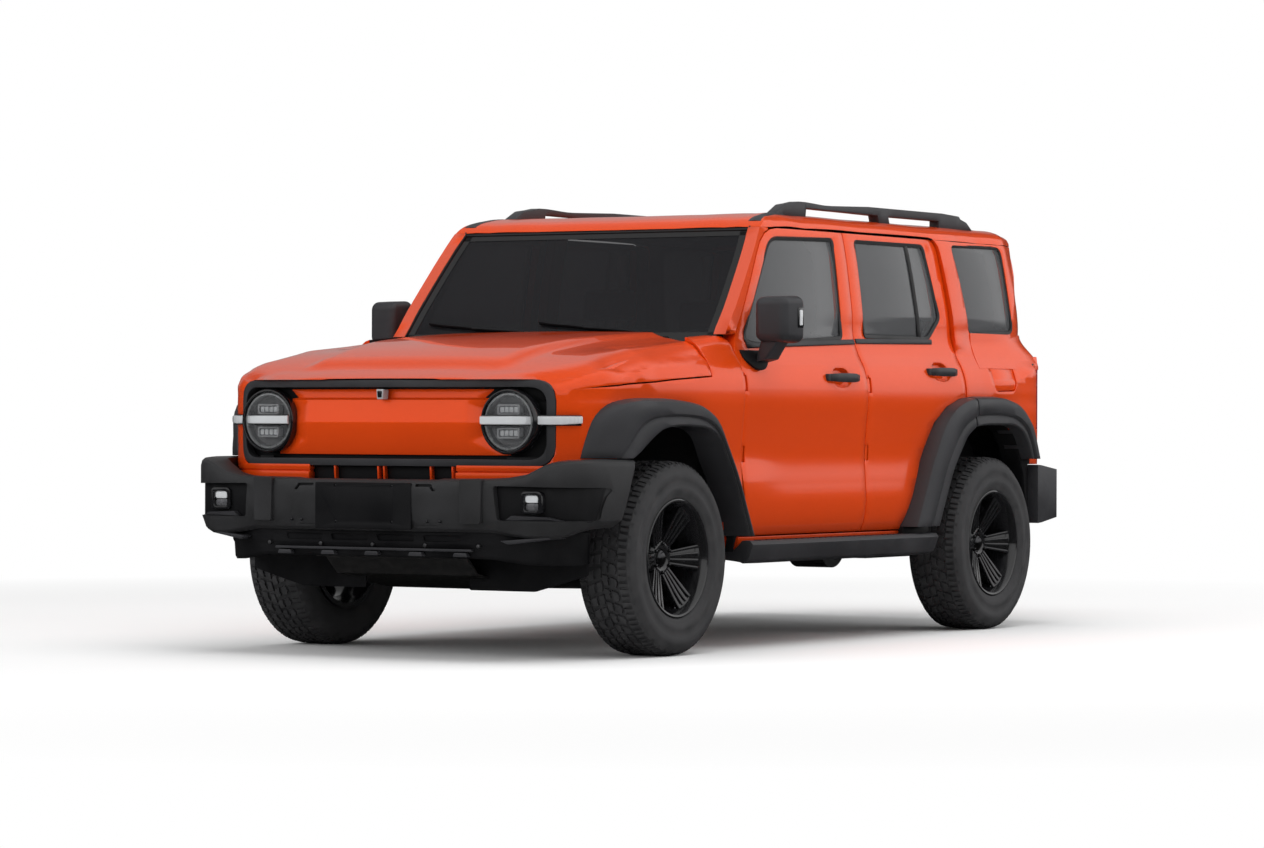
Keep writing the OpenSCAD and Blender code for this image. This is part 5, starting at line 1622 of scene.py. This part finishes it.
def cushion(name, x0, x1, s0, s1, z0, z1, lean=0.0, crown=26, pull=16, radius=40, seams=()):
    """A padded form with rounded corners, a crowned face, sides that pull in and sewn channels."""
    obj = block(name, x0, x1, s0, s1, z0, z1)
    edit(obj)
    bpy.ops.mesh.subdivide(number_cuts=17)
    done()
    cx, cs, cz = (x0 + x1) / 2, (s0 + s1) / 2, (z0 + z1) / 2
    hx, hs, hz = (x1 - x0) / 2, (s1 - s0) / 2, (z1 - z0) / 2
    thin = min(((hx, 0), (hs, 1), (hz, 2)))[1]
    for v in obj.data.vertices:
        q = np.array([v.co.x * 1000 - cx, (v.co.y - AXLE_Y) * 1000 - cs, v.co.z * 1000 - cz])
        h = np.array([hx, hs, hz])
        inner = np.clip(q, -(h - radius), h - radius)
        d = q - inner
        length = np.linalg.norm(d)
        if length > radius:
            q = inner + d / length * radius
        wide = [k for k in range(3) if k != thin]
        u, w = q[wide[0]] / h[wide[0]], q[wide[1]] / h[wide[1]]
        side = q[thin] / h[thin]
        q[thin] += crown * side * (1 - u * u) * (1 - w * w) * 0.9
        for k, other in ((wide[0], w), (wide[1], u)):
            q[k] -= pull * (q[k] / h[k]) * (1 - other * other) * 0.5
        for where, depth in seams:
            q[thin] -= depth * side * math.exp(-((u - where) / 0.035) ** 2) * (abs(side) > 0.55)
        x, s, z = q[0] + cx, q[1] + cs, q[2] + cz
        s += lean * (z - z0)
        v.co = place(x, s, z)
    soft_edges(obj, 0, shade=60)
    modify(obj, "SUBSURF", levels=1, render_levels=1)
    return obj


def seat(name, mid, width, s):
    w = width / 2
    made = [cushion(name + "_base", mid - w, mid + w, s, s + 450, 640, 815, crown=14,
                    seams=((-0.62, 9), (0.62, 9))), cushion(name + "_back", mid - w, mid + w, s + 385, s + 500, 770,
                        1345, lean=0.27, crown=18, pull=26, seams=((-0.62, 10), (0.62, 10))),
                        cushion(name + "_headrest", mid - w * 0.52, mid + w * 0.52, s + 566, s + 650, 1375, 1515,
                                lean=0.12, crown=12, pull=10, radius=34)]
    for obj in made:
        fit(obj, "body", "cloth", CLOTH)
    posts = join(name + "_posts", *[rod("post", (mid + h * 55, s + 592, 1320), (mid + h * 55, s + 606, 1400), 7,
        16) for h in (1, -1)], block("frame", mid - w + 30, mid + w - 30, s + 40, s + 400, 562, 650))
    fit(soft_edges(posts, 3), "body", "interior", LINING)
    return made


seat("front_seat_left", -DRIVER_X, 500, 930)
parts = seat("front_seat_right", DRIVER_X, 500, 930)
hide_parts("front_seats")
bench = [cushion("rear_seat_base", -620, 620, 1790, 2230, 640, 815, crown=12, seams=((-0.34, 10), (0.34, 10))),
         cushion("rear_seat_back", -620, 620, 2175, 2290, 770, 1330, lean=0.27, crown=14, pull=20,
                 seams=((-0.34, 10), (0.34, 10)))]
for where, x in (("right", -400), ("middle", 0), ("left", 400)):
    bench.append(cushion("rear_headrest_" + where, x - 120, x + 120, 2356, 2436, 1350, 1490, lean=0.12, crown=10,
                         pull=8, radius=32))
for obj in bench:
    fit(obj, "body", "cloth", CLOTH)
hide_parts("rear_seat")
fit(soft_edges(block("rear_seat_frame", -600, 600, 1830, 2200, 562, 650), 6), "body", "interior", LINING)

panel("dashboard", "dashboard_pad", "body", "interior", (LINING,), {"X": steps(-728, 728, 90)}, (), 10)
hood_over = turned("instrument_hood", [(150, -40), (158, -30), (160, 60), (154, 66), (146, 60), (146, -34),
    (150, -40)], place(DRIVER_X, 690, 1150), ALONG, 48)
for v in hood_over.data.vertices:
    v.co.z = max(1.150 + (v.co.z - 1.150) * 0.55, 1.13)
fit(soft_edges(hood_over, 2), "body", "interior", LINING)
plate(fit, "dash_screen", soft_oblong(-150, 170, 1080, 1226, 14, 4), "Y", 770, 786, (2,), "body", "interior", GLOSS)
for k, x in enumerate((-640, -200, 260, 640)):
    vent = board("vent", soft_oblong(x - 50, x + 50, 1068, 1112, 12, 3), "Y", 790, 826)
    cut(vent, board("hole", soft_oblong(x - 42, x + 42, 1076, 1104, 8, 3), "Y", 812, 840))
    fit(soft_edges(vent, 2), "body", "interior", GLOSS)
    vent.name = "dash_vent_%d" % k
console = block("centre_console", -110, 110, 780, 1340, 562, 800)
for v in console.data.vertices:
    if v.co.z > 0.7 and v.co.y < -0.5:
        v.co.z += 0.06
fit(soft_edges(console, 22, 4), "body", "interior", LINING)
shifter = turned("gear_knob", [(0, 44), (14, 42), (22, 32), (24, 18), (16, 4), (9, -10), (9, -90), (0, -90)],
                 place(20, 930, 900), (0, 0.2, 0.98), 32)
fit(soft_edges(shifter, 0), "body", "interior", GLOSS)

# steering wheel: a padded ring, three spokes and a blank hub
HOOP_R = 0.169
to_column = Matrix.Translation(place(DRIVER_X, 860, 1065)) @ Matrix.Rotation(math.radians(24 - 90), 4, "X")
clear()
bpy.ops.mesh.primitive_torus_add(major_radius=HOOP_R, minor_radius=0.0155, major_segments=64, minor_segments=16)
hoop = settle(bpy.context.object, "hoop")
for v in hoop.data.vertices:
    a = math.atan2(v.co.y, v.co.x)
    grip = math.exp(-((abs(a) - 0.9) / 0.25) ** 2) + math.exp(-((abs(a) - 2.25) / 0.25) ** 2)
    r = math.hypot(v.co.x, v.co.y)
    v.co.x += (r - HOOP_R) * 0.22 * grip * math.cos(a)
    v.co.y += (r - HOOP_R) * 0.22 * grip * math.sin(a)
spokes = []
for a in (0, 90, 180):
    clear()
    bpy.ops.mesh.primitive_cube_add(size=1, location=(0.108, 0, -0.002), scale=(0.112, 0.034, 0.014))
    arm = settle(bpy.context.object, "arm")
    soft_edges(arm, 5, 3)
    arm.data.transform(Matrix.Rotation(math.radians(a), 4, "Z"))
    spokes.append(arm)
clear()
bpy.ops.mesh.primitive_cylinder_add(vertices=40, radius=0.062, depth=0.034, location=(0, 0, -0.002))
hub = soft_edges(settle(bpy.context.object, "hub"), 9, 4)
clear()
bpy.ops.mesh.primitive_cylinder_add(vertices=32, radius=0.018, depth=0.09, location=(0, 0, -0.066))
shaft = settle(bpy.context.object, "shaft")
wheel = join("steering_ring", hoop, *spokes, hub, shaft)
wheel.data.transform(to_column)
wheel.data.update()
soft_edges(wheel, 0, shade=40)
fit(wheel, "steering_wheel", "interior", grained_plastic("steering_leather", (0.010, 0.010, 0.011),
    (0.018, 0.018, 0.019), (0.45, 0.6), 420.0, 0.0004), stands_for=("steering_wheel",))

# door furniture inside: a pull, a pad and a release on each door
for hand_body, s0, s1 in (("front_door", 690, 1540), ("rear_door", 1740, 2300)):
    pad = board("pad", soften([(s0 + 60, 640), (s1 - 60, 640), (s1 - 40, 940), (s0 + 40, 960)], 50, 5), "X", 764,
                779)
    gridded(pad, "Z", steps(640, 960, 40))
    both_hands(soft_edges(pad, 7, 3), hand_body + "_inner_pad", hand_body, "interior", LINING)
    rest = board("rest", soften([(s0 + 120, 930), (s1 - 120, 930), (s1 - 120, 968), (s0 + 120, 990)], 16, 4), "X",
                 716, 770)
    both_hands(soft_edges(rest, 8, 3), hand_body + "_armrest", hand_body, "interior", LINING)
    latch = board("latch", soft_oblong(s0 + 110, s0 + 200, 1040, 1066, 8, 3), "X", 770, 784)
    both_hands(soft_edges(latch, 3), hand_body + "_latch", hand_body, "interior", CHROME)


# ---------------------------------------------------------------- tail
def to_edge(obj, split_x, outer, inner):
    """Bends a plate to the plan outline: its face and its back stand off by `outer` and `inner`."""
    for v in obj.data.vertices:
        off = outer if v.co.x > split_x else inner
        v.co.x = (edge_plan((v.co.y - AXLE_Y) * 1000) + off) / 1000


panel("tail_lamps", "tail_lamp_lenses", "body", "red_lens", (RED,), {"Z": steps(900, 1190, 24)},
             (), 9)
lamp_case = board("tail_lamp_case", soften([(3236, 886), (3372, 886), (3376, 1204), (3236, 1204)], 22, 5), "X", 800,
                  880)
to_edge(lamp_case, 0.85, -2, -22)
both(soft_edges(lamp_case, 3), "tail_lamp_case", "body", "trim", GLOSS)
for k, z in enumerate((960, 1130)):
    glow = board("glow", soft_oblong(3270, 3345, z - 30, z + 30, 10, 3), "X", 850, 884)
    to_edge(glow, 0.866, 4, -10)
    both(soft_edges(glow, 3), "tail_lamp_strip_%d" % k, "body", "lens", AMBER if k == 0 else GUIDE)

gate_seal = soften(GATE_WINDOW, 50, 8)
rings = []
for (xo, zo), (xi, zi) in zip(grow(gate_seal, 6), grow(gate_seal, -14)):
    so, si = (graph(z, [1180, 1232, 1300, 1720, 1762], [3404, 3384, 3352, 3320, 3300]) for z in (zo, zi))
    rings.append([place(xo, so - 8, zo), place(xo, so + 2.5, zo), place(xi, si + 1.5, zi), place(xi, si - 18, zi),
                  place(xo, so - 18, zo)])
rings.append(rings[0])
fit(soft_edges(skin_over("rear_window_seal", rings, caps=False), 0, shade=50), "tailgate", "trim", SEAL)
plate(fit, "gate_handle", soft_oblong(430, 640, 1010, 1048, 14, 4), "Y", 3402, 3424, (6, 3), "tailgate", "trim",
      PLASTIC)
plate(fit, "rear_plate_panel", soft_oblong(-216, 216, 560, 690, 8, 3), "Y", 3540, 3548, (2,), "body", "trim",
      DARK_PLASTIC)
wing = board("roof_spoiler", soften([(-640, 1768), (640, 1768), (600, 1806), (-600, 1806)], 12, 3), "Y", 3272, 3326)
for v in wing.data.vertices:
    if v.co.y > 3.30 + AXLE_Y:
        v.co.z -= 0.012
fit(soft_edges(wing, 8, 3), "tailgate", "trim", PLASTIC)
plate(fit, "high_stop_lamp", soft_oblong(-150, 150, 1770, 1782, 4, 2), "Y", 3318, 3330, (1.5,), "tailgate",
      "red_lens", RED)
panel("tailgate_hinges", "tailgate_hinge_straps", "body", "paint", (PAINT,), {}, (), 2.0)
arm = strip("rear_wiper", [place(0, 3362, 1330), place(60, 3352, 1400), place(180, 3346, 1440),
    place(330, 3342, 1462)], [(-4, -6), (4, -6), (4, 4), (-4, 4)], tilt=(0, 1, 0))
fit(soft_edges(arm, 1), "tailgate", "trim", DARK_PLASTIC)

# ---------------------------------------------------------------- chassis
FINISH_OF = {"ladder_frame": FRAME_BLACK, "front_suspension": CAST, "rear_axle": FRAME_BLACK, "engine_block": CAST,
             "exhaust": RUSTY, "fuel_tank": UNDERSIDE_WITH_PAINTED_SHADE, "skid_plate": FRAME_BLACK, "floor_tub": LINING,
             "knuckle_left": CAST, "knuckle_right": CAST}
for node, finish in FINISH_OF.items():
    obj = frame["nodes"][node]
    if not obj.data.materials:
        obj.data.materials.append(finish)
    for k in range(len(obj.data.materials)):
        obj.data.materials[k] = finish
splash = board("arch_filler", oblong(-690, -372, 752, 792), "X", 780, 900)
to_edge(splash, 0.85, 4, -60)
both(soft_edges(splash, 2), "arch_filler", "body", "trim", DARK_PLASTIC)

# the shoulder that joins the lower body to the narrower upper body at each rear corner
LOW_LINE = [(900, 2700), (896, 2900), (892, 3050), (880, 3180), (866, 3300), (846, 3344), (820, 3372), (792, 3382)]
HIGH_LINE = [(900, 2700), (848, 2900), (826, 3050), (808, 3160), (792, 3236), (782, 3272), (768, 3296), (758, 3306)]
rings = []
for z in (1176, 1190, 1206, 1222, 1238, 1254, 1270, 1286, 1302, 1318, 1334):
    t = float(smoothstep(z, 1186, 1334))
    ring = []
    for depth in (1.6, -16):
        line = []
        for a, b in zip(LOW_LINE, HIGH_LINE):
            x, s = a[0] + (b[0] - a[0]) * t, a[1] + (b[1] - a[1]) * t
            line.append((min(x, side_x(z)) + depth * min(1.0, max(0.35, (3390 - s) / 60)),
                         s + depth * 0.9 * min(1.0, max(0.0, (s - 3250) / 50))))
        ring += [place(x, s, z) for x, s in (line if depth > 0 else line[::-1])]
    rings.append(ring)
shoulder = skin_over("rear_shoulder", rings)
both(soft_edges(shoulder, 0, shade=50), "rear_shoulder", "body", "paint", PAINT)

both(soft_edges(block("sill_end", 776, 884, 1960, 2200, 432, 478), 6), "sill_end", "body", "trim", DARK_PLASTIC)


def on_top(obj, x, s, lift):
    """A place just above a panel, straight below (x, s)."""
    hit, at, *_ = obj.ray_cast(place(x, s, 2100), DOWN)
    return at + Vector((0, 0, lift / 1000)) if hit else None


for h in (1, -1):
    rings = []
    for k in range(16):
        t = k / 15
        s = 948 + 290 * t
        mid = graph(t, [0, 0.25, 0.6, 1], [716, 706, 692, 684])
        wide = graph(t, [0, 0.3, 1], [30, 22, 14])
        row = [on_top(roof, h * (mid + u * wide), s, 4 - 3 * abs(u)) for u in (-1, -0.5, 0, 0.5, 1)]
        if None not in row:
            rings.append([row[0] - Vector((0, 0, 0.006))] + row + [row[-1] - Vector((0, 0, 0.006))])
    if len(rings) > 3:
        trim = skin_over("roof_corner_trim_" + hand_name(h), rings)
        fit(soft_edges(trim, 0), "body", "trim", PLASTIC)


# ---------------------------------------------------------------- studio
CAMERA_PLACE, CAMERA_LENS = (9.8293, -16.2538, 0.9389), 123.46
CAMERA_TURN = (math.pi / 2 - 0.001, -0.0032, 0.5545)


def studio():
    for o in bpy.data.objects:
        if o.type == "LIGHT":
            bpy.data.objects.remove(o)
    clear()
    bpy.ops.mesh.primitive_plane_add(size=240, location=(0, 0, 0))
    floor = settle(bpy.context.object, "studio_floor")
    f = Finish("pale_floor", Specular_IOR_Level=0.0, Roughness=1.0)
    mark = f.noise(0.6, 3.0)
    f.feed(Base_Color=f.blend(mark, (0.96, 0.96, 0.96, 1), (0.985, 0.985, 0.985, 1)))
    far = f.node("ShaderNodeVectorMath", {"operation": "LENGTH"}, {0: f.where()}, output=1)
    glow = f.node("ShaderNodeEmission", {}, {"Strength": 1.0})
    shown = f.either(f.spread(far, 3.3, 7.4) * f.ray("Is Camera Ray"), Value(f, f.shader.outputs[0]), glow)
    dark = f.node("ShaderNodeBsdfDiffuse", {}, {"Color": (0.03, 0.03, 0.03, 1)})
    f.tree.links.new(f.either(f.ray("Is Glossy Ray"), shown, dark).socket, f.out.inputs["Surface"])
    floor.data.materials.append(f.material)

    world = bpy.data.worlds.new("studio")
    bpy.context.scene.world = world
    world.use_nodes = True
    sky = Network(world.node_tree)
    generated = sky.node("ShaderNodeTexCoord", output="Generated")

    def background(strength):
        return sky.node("ShaderNodeBackground", {}, {0: (1, 1, 1, 1), 1: strength})

    def ramp(axis, a, b):
        """A soft step along one axis of the room."""
        along = sky.node("ShaderNodeSeparateXYZ", {}, {0: generated}, axis)
        return sky.node("ShaderNodeMapRange", {"interpolation_type": "SMOOTHSTEP"}, {0: along, 1: a, 2: b})

    # shiny faces see a dim room with one bright wall beyond the side of the car
    above = ramp("Z", 0.4, 0.85) * 0.24 + 0.035
    front = ramp("Z", 0.03, 0.22) * ramp("Y", 0.0, -0.5)
    behind = ramp("Z", 0.03, 0.12) * (ramp("Y", 0.3, 0.65) * ramp("X", -0.25, -0.48))
    room = background(front * 0.55 + (behind * 0.30 + above))
    beside = ramp("Z", 0.02, 0.07) * ramp("X", -0.05, 0.25)
    shiny = sky.either(beside, room, background(0.80))
    lit = sky.either(sky.ray("Is Glossy Ray"), background(0.42), shiny)
    sky.node("ShaderNodeOutputWorld", {}, {0: sky.either(sky.ray("Is Camera Ray"), lit, background(1.0))})

    def softbox(name, at, aim, width, height, power):
        lamp = bpy.data.lights.new(name, "AREA")
        lamp.shape, lamp.size, lamp.size_y, lamp.energy = "RECTANGLE", width, height, power
        o = bpy.data.objects.new(name, lamp)
        bpy.context.scene.collection.objects.link(o)
        o.location = at
        o.visible_glossy = False
        o.rotation_euler = (Vector(aim) - Vector(at)).to_track_quat("-Z", "Y").to_euler()

    softbox("side_softbox", (6.6, 9.6, 4.9), (0.4, 0.2, 1.3), 13.0, 6.4, 560)
    softbox("front_softbox", (-4.6, -9.4, 4.9), (0.0, -1.6, 1.2), 12.0, 6.4, 430)
    softbox("top_softbox", (1.5, -0.5, 7.5), (0, 0, 0), 7.0, 9.0, 390)

    scene = bpy.context.scene
    scene.view_settings.view_transform = "Standard"
    eye = bpy.data.cameras.new("camera")
    eye.sensor_width, eye.lens = 36.0, CAMERA_LENS
    eye.clip_end = 500
    camera = bpy.data.objects.new("camera", eye)
    scene.collection.objects.link(camera)
    camera.location, camera.rotation_euler = CAMERA_PLACE, CAMERA_TURN
    scene.camera = camera


studio()
